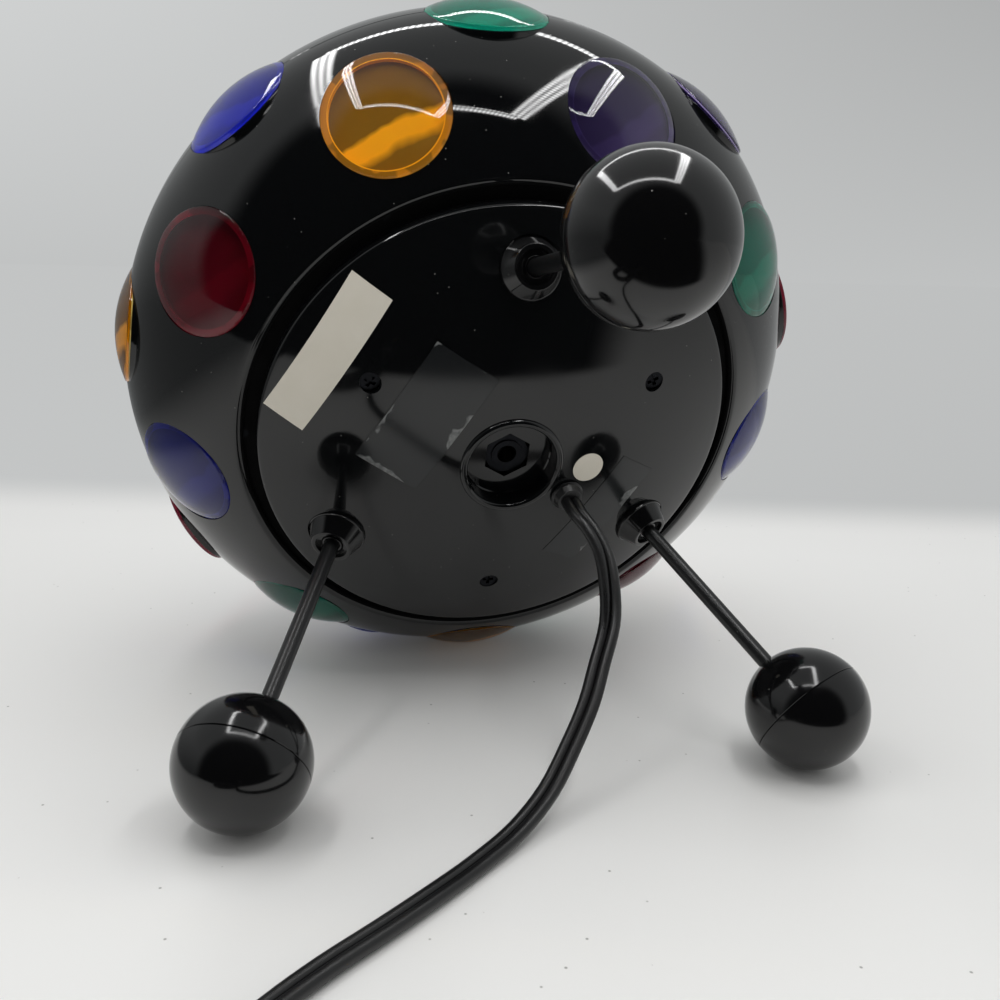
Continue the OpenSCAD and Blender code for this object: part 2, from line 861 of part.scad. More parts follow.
// Coil beside the lamp: clockwise turns, in through the lower layer and out through the upper
coil_centre = [-126, -170];
coil_out_r = 40;
coil_turns = 8;
coil_pitch = 4.4;
coil_rings = 24;
coil_lift = 0.9;
layer_pitch = cord_w + 1;
low_layer_z = coil_lift + cord_w / 2;
coil_in = [coil_centre[0] + coil_out_r, coil_centre[1] + cord_w, low_layer_z];
plug_lead = 22;
coil_end = [coil_centre[0] + coil_out_r, coil_centre[1] - plug_lead, low_layer_z + layer_pitch];

function ease(s) = let (x = min(max(s, 0), 1)) x * x * x * (x * (6 * x - 15) + 10);
function coil_r(t) = coil_out_r - coil_pitch * (coil_turns / 2 - abs(t - coil_turns / 2));
function coil_z(t) = low_layer_z + layer_pitch * ease((t - coil_turns / 2) / 0.5 + 0.5);
function coil_point(t) =
    [coil_centre[0] + coil_r(t) * cos(360 * t), coil_centre[1] - coil_r(t) * sin(360 * t), coil_z(t)];
coil_path = concat(
    [coil_in],
    [for (i = [0:coil_turns * coil_rings]) coil_point(i / coil_rings)],
    [coil_end]
);
coil_section = [for (a = [0:60:300]) [cord_w / 2 * cos(a), cord_t / 2 * sin(a) / sin(60)]];

// Least gap between turns that pass the same station of the coil
coil_gap = min([for (i = [0:(coil_turns - 1) * coil_rings]) for (k = [1:coil_turns])
    let (t = i / coil_rings)
    if (t + k <= coil_turns)
        max(abs(coil_r(t) - coil_r(t + k)) - cord_t, abs(coil_z(t) - coil_z(t + k)) - cord_w)]);

// Free stretch: out of the bush, down through the air, over the floor and on to the coil
exit_dir = lying_dir(spin(cos(skin_normal(exit_u)), sin(skin_normal(exit_u)), exit_turn));
exit_point = lying_point(spin(skin_point(exit_u)[0], skin_point(exit_u)[1], exit_turn))
    + (bush_flange_t + bush_nose_h) * exit_dir;
cord_points = [
    [20, -24.5, 56], [22, -29, 50.5], [22, -34, 43.5], [20.5, -39, 36], [16, -45, 28], [11.5, -51, 21],
    [5.5, -57, 14], [-2, -64, 7], [-11.5, -72, 3], [-22.5, -80.5, 1.6], [-33.5, -89, 1.6],
    [-44.5, -97, 1.6], [-56, -105, 1.6], [-66, -113, 1.6], [-75, -122, 2], [-81.5, -132, 2.5],
    [-85, -143.5, 3], [-86, -154, 3.4]
];
cord_route = concat(
    [exit_point, exit_point + cord_w * exit_dir],
    cord_points,
    [coil_in + [0, 4, 0], coil_in]
);
first_roll = len(cord_route) - 8;
function cord_roll(i) = 90 * ease((i - first_roll) / 6);

echo(coil_gap = coil_gap);
echo(cord_length = path_length(cord_route) + path_length(coil_path));
echo(lying = [tip, floor_h, x_mid, y_mid], exit = [exit_point, exit_dir]);

module mains_cord() {
    color(BLACK)
        tube([for (i = [0:len(cord_route) - 1])
            ring_at(cord_route[i], along(cord_route, i), cord_roll(i), twin_section)]);
}

module cord_coil() {
    color(BLACK)
        tube([for (i = [0:len(coil_path) - 1])
            ring_at(coil_path[i], along(coil_path, i), 90, coil_section)]);
}

// Flat band round all turns on the far side of the coil
module coil_tie() {
    tie_t = 0.7;
    tie_w = 6;
    slack = 0.1;
    in_r = coil_out_r - coil_pitch * coil_turns / 2 - cord_t / 2 - slack - 1;
    out_r = coil_out_r + cord_t / 2 + slack;
    top_z = low_layer_z + layer_pitch + cord_w / 2 + slack;
    color("#2b2b2e")
        translate([coil_centre[0] - out_r, coil_centre[1] - tie_w / 2, coil_lift - slack])
            difference() {
                translate([-tie_t, 0, -tie_t])
                    cube([out_r - in_r + 2 * tie_t, tie_w, top_z - coil_lift + slack + 2 * tie_t]);
                translate([0, -bite, 0])
                    cube([out_r - in_r, tie_w + 2 * bite, top_z - coil_lift + slack]);
            }
}

// Two-pin plug lying on its edge, its blades one above the other
plug_h = 2 * coil_end[2];
plug_nose_l = 9;
blade_gap = 12.7;
blade_size = [6.3, 17, 1.5];

module plug_body() {
    corner = 2.5;
    color(BLACK)
        translate(coil_end) {
            hull()
                for (x = [-1, 1]) for (z = [-1, 1])
                    translate([x * (plug_w / 2 - corner), -plug_nose_l, z * (plug_h / 2 - corner)])
                        rotate([90, 0, 0])
                            cylinder(r = corner, h = plug_l - plug_nose_l, $fn = 24);
            hull() {
                translate([0, -plug_nose_l - 1, 0])
                    cube([plug_w - 3, 1, plug_h - 3], center = true);
                rotate([90, 0, 0])
                    cylinder(d = cord_w + 3, h = 1, $fn = 24);
            }
        }
}

module plug_blades() {
    color("#c9a85a")
        translate(coil_end - [0, plug_l, 0])
            for (side = [-1, 1])
                translate([-blade_size[0] / 2, -blade_size[1], side * blade_gap / 2 - blade_size[2] / 2])
                    cube(blade_size);
}

lower_shell();
upper_shell();
turn_ring();
ring_screws();
lens_group(LOW, AMBER);  // lens_low_amber
lens_group(LOW, GREEN);  // lens_low_green
lens_group(LOW, BLUE);  // lens_low_blue
lens_group(LOW, RED);  // lens_low_red
lens_group(LOW, VIOLET);  // lens_low_violet
lens_group(MID, AMBER);  // lens_mid_amber
lens_group(MID, GREEN);  // lens_mid_green
lens_group(MID, BLUE);  // lens_mid_blue
lens_group(MID, RED);  // lens_mid_red
lens_group(MID, VIOLET);  // lens_mid_violet
lens_group(HIGH, AMBER);  // lens_high_amber
lens_group(HIGH, GREEN);  // lens_high_green
lens_group(HIGH, BLUE);  // lens_high_blue
lens_group(HIGH, RED);  // lens_high_red
lens_group(HIGH, VIOLET);  // lens_high_violet
lens_group(TOP, AMBER);  // lens_top_amber
union() {  // lens_top_green
    lens_group(TOP, GREEN);
    lens_group(CROWN, GREEN);
}
lens_group(TOP, BLUE);  // lens_top_blue
lens_group(TOP, RED);  // lens_top_red
lens_group(TOP, VIOLET);  // lens_top_violet
drive_pinion();
base_cap();
cap_screws();
hub_nut();
hub_nipple();
chassis();
motor();
lampholder();
bulb_cap();
bulb_glass();
terminal_block();
lead_wires();
leg_rod(1);  // leg_rod_1
leg_rod(2);  // leg_rod_2
leg_rod(3);  // leg_rod_3
leg_collar(1);  // leg_collar_1
leg_collar(2);  // leg_collar_2
leg_collar(3);  // leg_collar_3
ball_inner(1);  // ball_inner_1
ball_inner(2);  // ball_inner_2
ball_inner(3);  // ball_inner_3
ball_outer(1);  // ball_outer_1
ball_outer(2);  // ball_outer_2
ball_outer(3);  // ball_outer_3
cord_bush();
mains_cord();
cord_coil();
coil_tie();
plug_body();
plug_blades();
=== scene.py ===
"""Looks of the disco light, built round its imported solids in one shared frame.

Shapes are drawn in millimetres, in the lamp's own upright frame or in the frame it lies in, and are turned
into metres when a piece is made.
"""

import json
import logging
from dataclasses import dataclass, field
from enum import Enum
from math import acos, asin, atan2, ceil, cos, degrees, pi, radians, sin, sqrt, tau

import bmesh
import bpy
from bmesh.types import BMEdge, BMesh
from bpy.types import ID, Light, Material, Mesh, Node, NodeSocket, NodeTree, Object
from mathutils import Matrix, Vector


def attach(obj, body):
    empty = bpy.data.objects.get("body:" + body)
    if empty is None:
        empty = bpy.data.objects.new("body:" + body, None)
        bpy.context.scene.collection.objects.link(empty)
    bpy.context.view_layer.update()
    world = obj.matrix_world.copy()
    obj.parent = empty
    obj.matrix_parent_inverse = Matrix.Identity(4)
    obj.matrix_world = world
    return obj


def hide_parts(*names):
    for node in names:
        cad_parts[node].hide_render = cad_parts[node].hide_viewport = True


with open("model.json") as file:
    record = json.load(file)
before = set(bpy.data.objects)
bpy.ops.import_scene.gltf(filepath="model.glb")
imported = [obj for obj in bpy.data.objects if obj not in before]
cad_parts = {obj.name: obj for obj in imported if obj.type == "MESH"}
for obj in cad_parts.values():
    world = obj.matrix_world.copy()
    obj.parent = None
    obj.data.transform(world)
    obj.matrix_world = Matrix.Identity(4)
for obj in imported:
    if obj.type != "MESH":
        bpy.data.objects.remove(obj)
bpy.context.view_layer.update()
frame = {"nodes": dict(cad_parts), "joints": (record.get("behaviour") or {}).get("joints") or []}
LOG = logging.getLogger("disco_light")
MM = 0.001
PER_METRE = 1000
BODY_BASE = "base"
BODY_SHELL = "shell"
WHITE = "#ffffff"
Pair = tuple[float, float]
Triple = tuple[float, float, float]
Points = list[Pair]


class Tint(Enum):
    """Colours of the lenses, named as in the nodes."""

    AMBER = "amber"
    GREEN = "green"
    BLUE = "blue"
    RED = "red"
    VIOLET = "violet"


class Row(Enum):
    """Rows of lenses, named as in the nodes."""

    LOW = "low"
    MID = "mid"
    HIGH = "high"
    TOP = "top"


def linear(code: str) -> tuple[float, float, float, float]:
    """Turns an sRGB hex code into linear colour.

    Args:
        code: A hash sign and six hex digits.

    Returns:
        Red, green, blue and alpha for a colour socket.
    """
    parts = [int(code[i:i + 2], 16) / 255 for i in (1, 3, 5)]
    red, green, blue = [p / 12.92 if p <= 0.04045 else ((p + 0.055) / 1.055) ** 2.4 for p in parts]
    return red, green, blue, 1.0


def connect(tree: NodeTree, node: Node, inputs: dict) -> None:
    """Gives a node's inputs their values and links.

    Args:
        tree: The node tree that holds the node.
        node: The node.
        inputs: Values, or sockets to link from, by the input's name or number.
    """
    for key, value in inputs.items():
        if isinstance(value, NodeSocket):
            tree.links.new(value, node.inputs[key])
        else:
            node.inputs[key].default_value = value


def add(tree: NodeTree, kind: str, inputs: dict | None = None, **settings: str) -> NodeSocket:
    """Adds a shader node with its settings, values and links.

    Args:
        tree: The node tree that gets the node.
        kind: The node's type, without its ShaderNode prefix.
        inputs: Values, or sockets to link from, by the input's name or number.
        settings: Properties of the node.

    Returns:
        The node's first output in use, by which the others are found.
    """
    node = tree.nodes.new("ShaderNode" + kind)
    for name, value in settings.items():
        setattr(node, name, value)
    connect(tree, node, inputs or {})
    return next(socket for socket in node.outputs if socket.enabled)


@dataclass(frozen=True)
class Finish:
    """A surface finish: a name, a colour and a gloss, dressed by its kind."""

    name: str
    colour: str
    roughness: float

    def material(self) -> Material:
        """Makes the finish's material, or finds it if it is already made.

        Returns:
            The material for a piece's slot.
        """
        made = bpy.data.materials.get(self.name)
        if made:
            return made
        material = bpy.data.materials.new(self.name)
        material.use_nodes = True
        tree = material.node_tree
        shader = tree.nodes["Principled BSDF"]
        connect(tree, shader, {"Base Color": linear(self.colour), "Roughness": self.roughness})
        connect(tree, shader, self.dress(tree))
        shown = self.whole(tree, shader.outputs["BSDF"])
        connect(tree, tree.nodes["Material Output"], {"Surface": shown})
        return material

    def dress(self, tree: NodeTree) -> dict:
        """Draws what this kind of surface shows.

        Args:
            tree: The material's nodes.

        Returns:
            Values and sockets for the Principled node, by the input's name.
        """
        raise NotImplementedError

    def whole(self, tree: NodeTree, face: NodeSocket) -> NodeSocket:
        """Gives what the material shows, which is its face unless a kind adds to it."""
        return face


@dataclass(frozen=True)
class MouldedGloss(Finish):
    """Injection moulded polystyrene from a polished mould: deep gloss, a hint of sink, settled dust."""

    film_mm: float = 14.0
    film_range: Pair = (0.42, 0.7)
    film_haze: float = 0.05
    sink_mm: float = 26.0
    sink_depth_mm: float = 0.02
    dust_pitch_mm: float = 2.3
    dust_share: float = 0.42
    dust_mm: float = 0.3
    dust_core: float = 0.6
    dust_colour: str = "#7c7c78"
    dust_roughness: float = 0.7
    ior: float = 1.52

    def dress(self, tree: NodeTree) -> dict:
        """Draws dust specks, a hazy film and the mould's slight waves.

        Args:
            tree: The material's nodes.

        Returns:
            Values and sockets for the Principled node.
        """
        place = add(tree, "TexCoord").node.outputs["Object"]
        film = add(tree, "TexNoise", {"Vector": place, "Scale": PER_METRE / self.film_mm, "Detail": 4.0})
        low, high = self.film_range
        haze = add(tree, "MapRange", {"Value": film, "From Min": low, "From Max": high,
                                      "To Min": self.roughness, "To Max": self.roughness + self.film_haze})
        cells = add(tree, "TexVoronoi", {"Vector": place, "Scale": PER_METRE / self.dust_pitch_mm})
        size = self.dust_mm / 2 / self.dust_pitch_mm
        near = add(tree, "MapRange", {"Value": cells, "From Min": size, "From Max": size * self.dust_core})
        chosen = add(tree, "Math", {0: cells.node.outputs["Color"], 1: 1 - self.dust_share},
                     operation="GREATER_THAN")
        speck = add(tree, "Math", {0: near, 1: chosen}, operation="MULTIPLY")
        tone = add(tree, "Mix", {0: speck, 6: linear(self.colour), 7: linear(self.dust_colour)},
                   data_type="RGBA")
        dull = add(tree, "Mix", {0: speck, 2: haze, 3: self.dust_roughness})
        waves = add(tree, "TexNoise", {"Vector": place, "Scale": PER_METRE / self.sink_mm, "Detail": 1.0})
        bump = add(tree, "Bump", {"Height": waves, "Strength": 1.0, "Distance": self.sink_depth_mm * MM})
        return {"Base Color": tone, "Roughness": dull, "Normal": bump, "IOR": self.ior}


@dataclass(frozen=True)
class TintedDome(Finish):
    """Tinted clear polystyrene: the lens's outer face, which bends light and lets lamps through."""

    ior: float = 1.5

    def dress(self, tree: NodeTree) -> dict:
        """Makes the face see-through."""
        return {"IOR": self.ior, "Transmission Weight": 1.0}

    def whole(self, tree: NodeTree, face: NodeSocket) -> NodeSocket:
        """Makes the face clear to the lamps that light the floor behind it.

        Args:
            tree: The material's nodes.
            face: The see-through face.

        Returns:
            The face, with a tinted hole for shadow rays.
        """
        path = add(tree, "LightPath").node.outputs
        clear = add(tree, "BsdfTransparent", {"Color": linear(self.colour)})
        return add(tree, "MixShader", {0: path["Is Shadow Ray"], 1: face, 2: clear})


@dataclass(frozen=True)
class LensFloor(Finish):
    """The seat and plug seen through a lens: a dark floor, a band of painted light, a painted highlight ring
    at the plug's edge, and a ring of glue on the ledge.
    """

    # Colour of the painted light in the band and in the ring at the plug's edge
    painted_light: str = WHITE
    glue: str = WHITE
    painted_light_share: float = 1.0
    width_mm: float = 30.0
    ledge_mm: float = 12.9
    painted_rim_mm: float = 0.3
    cloud_mm: float = 9.0
    blob_mm: float = 6.0
    blob_range: Pair = (0.5, 0.54)
    blob_share: Pair = (0.2, 1.0)
    lean: float = -0.6
    bend_mm: float = 6.0
    painted_band_top_mm: Pair = (1.4, 0.2)
    painted_band_end_mm: Pair = (-6.5, -4.0)

    def dress(self, tree: NodeTree) -> dict:
        """Draws the band of painted light, the painted bright ring at the plug's edge and the glue round it.

        Args:
            tree: The material's nodes.

        Returns:
            Values and sockets for the Principled node.
        """
        dark, painted_light, half = linear(self.colour), linear(self.painted_light), -self.width_mm / 2
        centred = add(tree, "Mapping", {"Vector": add(tree, "UVMap", uv_map="lens"),
                                        "Location": (half, half, 0.0),
                                        "Scale": (self.width_mm, self.width_mm, 1.0)})
        out = add(tree, "VectorMath", {0: centred}, operation="LENGTH")
        place = add(tree, "TexCoord").node.outputs["Object"]
        # Painted light: a bent band of light across the floor, scaled by the painted light's share
        cloud = add(tree, "TexNoise", {"Vector": place, "Scale": PER_METRE / self.cloud_mm, "Detail": 2.0})
        split = add(tree, "SeparateXYZ", {"Vector": centred}).node.outputs
        slope = add(tree, "Math", {0: split["X"], 1: self.lean, 2: split["Y"]}, operation="MULTIPLY_ADD")
        bent = add(tree, "Math", {0: cloud, 1: self.bend_mm, 2: slope}, operation="MULTIPLY_ADD")
        above, below = (add(tree, "MapRange", {"Value": bent, "From Min": low, "From Max": high})
                        for low, high in (self.painted_band_top_mm, self.painted_band_end_mm))
        band = add(tree, "Math", {0: above, 1: below}, operation="MULTIPLY")
        shown = add(tree, "Math", {0: band, 1: self.painted_light_share}, operation="MULTIPLY")
        floor = add(tree, "Mix", {0: shown, 6: dark, 7: painted_light}, data_type="RGBA")
        blobs = add(tree, "TexNoise", {"Vector": place, "Scale": PER_METRE / self.blob_mm, "Detail": 1.0})
        (low, high), (thin, full) = self.blob_range, self.blob_share
        patch = add(tree, "MapRange", {"Value": blobs, "From Min": low, "From Max": high,
                                       "To Min": thin, "To Max": full})
        ledge = add(tree, "Mix", {0: patch, 6: dark, 7: linear(self.glue)}, data_type="RGBA")
        outside = add(tree, "Math", {0: out, 1: self.ledge_mm}, operation="GREATER_THAN")
        both = add(tree, "Mix", {0: outside, 6: floor, 7: ledge}, data_type="RGBA")
        # Painted highlight: a thin bright ring at the plug's edge, scaled by the same share
        edge = add(tree, "Math", {0: out, 1: self.ledge_mm, 2: self.painted_rim_mm}, operation="COMPARE")
        rim = add(tree, "Math", {0: edge, 1: self.painted_light_share}, operation="MULTIPLY")
        return {"Base Color": add(tree, "Mix", {0: rim, 6: both, 7: painted_light}, data_type="RGBA")}


@dataclass(frozen=True)
class Mottled(Finish):
    """A plain solid such as paper, nylon, ceramic or glass: cloudy tone and gloss, and a fine grain."""

    second: str = WHITE
    cloud_mm: float = 8.0
    cloud_detail: float = 4.0
    cloud_range: Pair = (0.3, 0.7)
    grain_mm: float = 0.5
    grain_detail: float = 2.0
    grain_strength: float = 0.5
    grain_depth_mm: float = 0.02
    drawn: float = 1.0
    ior: float = 1.5
    metallic: float = 0.0

    def gloss(self) -> Pair:
        """Roughness at the pattern's low and high places."""
        return self.roughness * 0.85, self.roughness * 1.15

    def dress(self, tree: NodeTree) -> dict:
        """Draws the cloudy tone, and the grain or the lines of a drawn surface.

        Args:
            tree: The material's nodes.

        Returns:
            Values and sockets for the Principled node.
        """
        place = add(tree, "TexCoord").node.outputs["Object"]
        cloud = add(tree, "TexNoise", {"Vector": place, "Scale": PER_METRE / self.cloud_mm,
                                       "Detail": self.cloud_detail})
        tone = add(tree, "Mix", {0: cloud, 6: linear(self.colour), 7: linear(self.second)}, data_type="RGBA")
        lined = self.drawn < 1
        if lined:
            place = add(tree, "Mapping", {"Vector": place, "Scale": (1.0, 1.0, self.drawn)})
        grain = add(tree, "TexNoise", {"Vector": place, "Scale": PER_METRE / self.grain_mm,
                                       "Detail": self.grain_detail})
        bump = add(tree, "Bump", {"Height": grain, "Strength": self.grain_strength,
                                  "Distance": self.grain_depth_mm * MM})
        low, high = self.gloss()
        gloss = add(tree, "MapRange", {"Value": grain if lined else cloud, "From Min": self.cloud_range[0],
                                       "From Max": self.cloud_range[1], "To Min": low, "To Max": high})
        return {"Base Color": tone, "Roughness": gloss, "Normal": bump, "IOR": self.ior,
                "Metallic": self.metallic}


@dataclass(frozen=True)
class FlexPvc(Mottled):
    """Extruded soft PVC: satin gloss with fine streaks along it and rubbed high places."""

    second: str = "#19191a"
    cloud_mm: float = 22.0
    cloud_detail: float = 3.0
    cloud_range: Pair = (0.35, 0.7)
    grain_mm: float = 1.2
    grain_detail: float = 3.0
    grain_strength: float = 0.35
    grain_depth_mm: float = 0.04
    ior: float = 1.53

    def gloss(self) -> Pair:
        """Roughness at the rubbed places and at the dull ones."""
        return self.roughness - 0.06, self.roughness + 0.12


@dataclass(frozen=True)
class PlatedMetal(Mottled):
    """Plated or bare metal: fine drawing lines that streak the gloss, and a cloudy plate."""

    cloud_mm: float = 5.0
    grain_mm: float = 0.4
    grain_strength: float = 0.3
    grain_depth_mm: float = 0.002
    drawn: float = 0.08
    metallic: float = 1.0


@dataclass(frozen=True)
class LabelFilm(Finish):
    """Clear film stuck on black: a dark cut edge, and where it has lifted, the air gap drawn silvery as a
    painted reflection.
    """

    size_mm: Pair = (36.0, 18.0)
    # Colour of the painted reflection in the lifted patches
    painted_air_sheen: str = "#8d8f8e"
    cut_edge: str = "#040405"
    cut_mm: float = 0.3
    lift_mm: float = 11.0
    lift_range: Pair = (0.5, 0.68)
    reach_mm: float = 3.2
    lift_edge_mm: float = 0.5
    fibre_mm: float = 1.1
    fibre_range: Pair = (0.3, 0.7)
    painted_sheen_share: Pair = (0.25, 0.75)

    def dress(self, tree: NodeTree) -> dict:
        """Draws the lifted patches along the film's edges, lightened to a silvery grey as a painted
        reflection.

        Args:
            tree: The material's nodes.

        Returns:
            Values and sockets for the Principled node.
        """
        split = add(tree, "SeparateXYZ", {"Vector": add(tree, "UVMap", uv_map="label")}).node.outputs
        sides = []
        for name, length in zip("XY", self.size_mm):
            off = add(tree, "Math", {0: split[name], 1: 0.5}, operation="SUBTRACT")
            size = add(tree, "Math", {0: off}, operation="ABSOLUTE")
            sides.append(add(tree, "MapRange", {"Value": size, "From Max": 0.5, "To Min": length / 2,
                                                "To Max": 0.0}))
        near = add(tree, "Math", {0: sides[0], 1: sides[1]}, operation="MINIMUM")
        place = add(tree, "TexCoord").node.outputs["Object"]
        lift = add(tree, "TexNoise", {"Vector": place, "Scale": PER_METRE / self.lift_mm, "Detail": 3.0})
        low, high = self.lift_range
        reach = add(tree, "MapRange", {"Value": lift, "From Min": low, "From Max": high,
                                       "To Max": self.reach_mm})
        gap = add(tree, "Math", {0: reach, 1: near}, operation="SUBTRACT")
        raised = add(tree, "MapRange", {"Value": gap, "From Max": self.lift_edge_mm})
        # Painted reflection: the lifted patches are mixed towards the silvery grey
        fibre = add(tree, "TexNoise", {"Vector": place, "Scale": PER_METRE / self.fibre_mm, "Detail": 4.0})
        (low, high), (least, most) = self.fibre_range, self.painted_sheen_share
        painted_silver = add(tree, "MapRange", {"Value": fibre, "From Min": low, "From Max": high, "To Min": least,
                                        "To Max": most})
        share = add(tree, "Math", {0: raised, 1: painted_silver}, operation="MULTIPLY")
        clear = add(tree, "Mix", {0: share, 6: linear(self.colour), 7: linear(self.painted_air_sheen)}, data_type="RGBA")
        line = add(tree, "Math", {0: near, 1: self.cut_mm}, operation="LESS_THAN")
        return {"Base Color": add(tree, "Mix", {0: line, 6: clear, 7: linear(self.cut_edge)},
                                  data_type="RGBA")}


# Glossy black mouldings: the shell has the deepest gloss and most dust, the balls little dust
SHELL_BLACK = MouldedGloss("Moulded black polystyrene, shell", "#0a0b0c", 0.035)
CAP_BLACK = MouldedGloss("Moulded black polystyrene, cap", "#0b0c0d", 0.06, dust_share=0.3)
BALL_BLACK = MouldedGloss("Moulded black polystyrene, ball", "#0b0b0c", 0.09, sink_mm=12, dust_share=0.2)
LEG_BLACK = MouldedGloss("Black enamelled steel rod", "#101112", 0.3, sink_mm=6, sink_depth_mm=0.0006,
                         dust_share=0.25)
COLLAR_BLACK = MouldedGloss("Moulded black polystyrene, collar", "#0c0c0d", 0.1, sink_mm=8,
                            sink_depth_mm=0.004, dust_share=0.3)

# Lens faces of tinted polystyrene: pale tints, because light crosses them on its way in and out
DOMES = {tint: TintedDome(f"Tinted polystyrene, {tint.value}", colour, 0.03) for tint, colour in {
    Tint.AMBER: "#ffe684", Tint.GREEN: "#50e2cc", Tint.BLUE: "#8494ff", Tint.RED: "#ff6c8e",
    Tint.VIOLET: "#b6a4da"}.items()}

# Seats and plugs as seen through each face: dark floor, painted light for the band and the plug's edge, glue,
# and the painted light's strength; the glue is drawn bright, partly as painted light coming through the lens
FLOORS = {tint: LensFloor(f"Lens seat under {tint.value}", dark, 0.4, painted_light, glue, share)
          for tint, (dark, painted_light, glue, share) in {
              Tint.AMBER: ("#74530c", "#ffc028", "#c48614", 1.0),
              Tint.GREEN: ("#00695f", "#10ac98", "#068478", 0.35),
              Tint.BLUE: ("#1a2274", "#3a48c0", "#2832a4", 0.3),
              Tint.RED: ("#4c0420", "#8a1238", "#761638", 0.15),
              Tint.VIOLET: ("#1d1634", "#544a6e", "#332a54", 0.3)}.items()}

# Cord, tie and labels
CORD_PVC = FlexPvc("Extruded black PVC", "#0b0b0c", 0.32)
PLUG_PVC = FlexPvc("Moulded black PVC", "#0e0e0f", 0.38, grain_mm=0.9)
TIE_NYLON = Mottled("Black nylon tie", "#161617", 0.45, "#202022", grain_mm=0.7)
PAPER = Mottled("Uncoated white label paper", "#e2dccf", 0.75, "#d7d1c2", grain_mm=0.35)
FILM_WIDE = LabelFilm("Clear polyester film, wide", "#1d1f20", 0.14)
FILM_SMALL = LabelFilm("Clear polyester film, small", "#1d1f20", 0.14, (35.0, 12.0))

# Metal and inner mouldings
# Painted shade: the groove between the shell and the cap is drawn darker and duller than the shell, for the
# shade that falls in it
GROOVE_PAINTED_SHADE = Mottled("Black polystyrene, painted groove shade", "#040405", 0.85, "#070708", ior=1.25)
SCREW_BLACK = PlatedMetal("Black oxide steel", "#17181a", 0.42, "#26272a")
BRASS = PlatedMetal("Drawn brass", "#b08d3c", 0.28, "#c6a655")
SHEET_STEEL = PlatedMetal("Galvanised sheet steel", "#8b9096", 0.4, "#a9adb2")
ACETAL = Mottled("Black acetal", "#0a0a0b", 0.4, "#101012", grain_mm=0.8)
NYLON = Mottled("Natural moulded nylon", "#e4dfd0", 0.42, "#d8d2c0", grain_mm=0.8)
CERAMIC = Mottled("Glazed white ceramic", "#ece7da", 0.15, "#e2dccc", grain_mm=1.5)
OPAL = Mottled("Opal bulb glass", "#f4f1e6", 0.12, "#efeadb", grain_mm=3.0, grain_depth_mm=0.005)
BLOCK = Mottled("Moulded white polyamide", "#e9e8e2", 0.45, "#dcdad2")
WIRE = FlexPvc("Grey wire PVC", "#3a3a3c", 0.42)


def circle(x: float, y: float, radius: float, start: float, end: float, count: int) -> Points:
    """Points on an arc of a circle.

    Args:
        x: Across to its centre.
        y: Up to its centre.
        radius: Its radius.
        start: Angle of the first point, in degrees.
        end: Angle of the last point, in degrees.
        count: Number of steps between them.

    Returns:
        The points, both ends among them.
    """
    turns = [radians(start + (end - start) * i / count) for i in range(count + 1)]
    return [(x + radius * cos(a), y + radius * sin(a)) for a in turns]


def turned(angle: float, axis: str = "Z") -> Matrix:
    """Turn by an angle in degrees."""
    return Matrix.Rotation(radians(angle), 4, axis)


def lathe(mesh: BMesh, profile: Points, steps: int, place: Matrix = Matrix(), closed: bool = True) -> None:
    """Spins a profile of radius and height round Z.

    Args:
        mesh: The mesh that gets the shape.
        profile: Radius and height of each point, in order.
        steps: Faces round the full turn.
        place: Where the turned shape goes.
        closed: Whether the last point joins the first, unless both lie on the axis.
    """
    earlier = set(mesh.verts)
    points = [mesh.verts.new((r, 0.0, z)) for r, z in profile]
    pairs = list(zip(points, points[1:])) + ([(points[-1], points[0])] if closed else [])
    lines = [mesh.edges.new(pair) for pair in pairs if max(pair[0].co.x, pair[1].co.x) > 1e-4]
    bmesh.ops.spin(mesh, geom=points + lines, cent=(0, 0, 0), axis=(0, 0, 1), angle=tau, steps=steps,
                   use_merge=True)
    bmesh.ops.transform(mesh, matrix=place, verts=[v for v in mesh.verts if v not in earlier])


def rod(mesh: BMesh, radius: float, low: float, high: float, place: Matrix, sides: int) -> None:
    """Adds a closed straight cylinder along local Z, as a cutter or a plain pin.

    Args:
        mesh: The mesh that gets it.
        radius: Its radius.
        low: Where it starts on Z.
        high: Where it ends on Z.
        place: Where its local frame goes.
        sides: Number of faces round it.
    """
    middle = place @ Matrix.Translation((0, 0, (low + high) / 2))
    bmesh.ops.create_cone(mesh, cap_ends=True, segments=sides, radius1=radius, radius2=radius,
                          depth=high - low, matrix=middle)


def block(mesh: BMesh, middle: Vector, size: Triple) -> None:
    """Adds a box.

    Args:
        mesh: The mesh that gets it.
        middle: Its centre.
        size: Its length along each axis.
    """
    bmesh.ops.create_cube(mesh, size=1.0, matrix=Matrix.Translation(middle) @ Matrix.Diagonal((*size, 1.0)))


def close(mesh: BMesh) -> None:
    """Merges doubles and turns all faces outwards.

    Args:
        mesh: The shape.
    """
    bmesh.ops.remove_doubles(mesh, verts=mesh.verts, dist=0.0005)
    bmesh.ops.dissolve_degenerate(mesh, edges=mesh.edges, dist=0.0005)
    bmesh.ops.recalc_face_normals(mesh, faces=mesh.faces)


def soften(mesh: BMesh, offset: float, segments: int = 2, sharper_than: float = 40.0) -> None:
    """Rounds the sharp edges of a shape.

    Args:
        mesh: The closed shape.
        offset: How far the rounding reaches from an edge.
        segments: Faces across the rounding.
        sharper_than: Angle between faces, in degrees, above which an edge is rounded.
    """
    limit = radians(sharper_than)
    sharp = [e for e in mesh.edges if len(e.link_faces) == 2 and e.calc_face_angle() > limit]
    bmesh.ops.bevel(mesh, geom=sharp, offset=offset, segments=segments, profile=0.5, affect="EDGES",
                    material=-1, clamp_overlap=True)


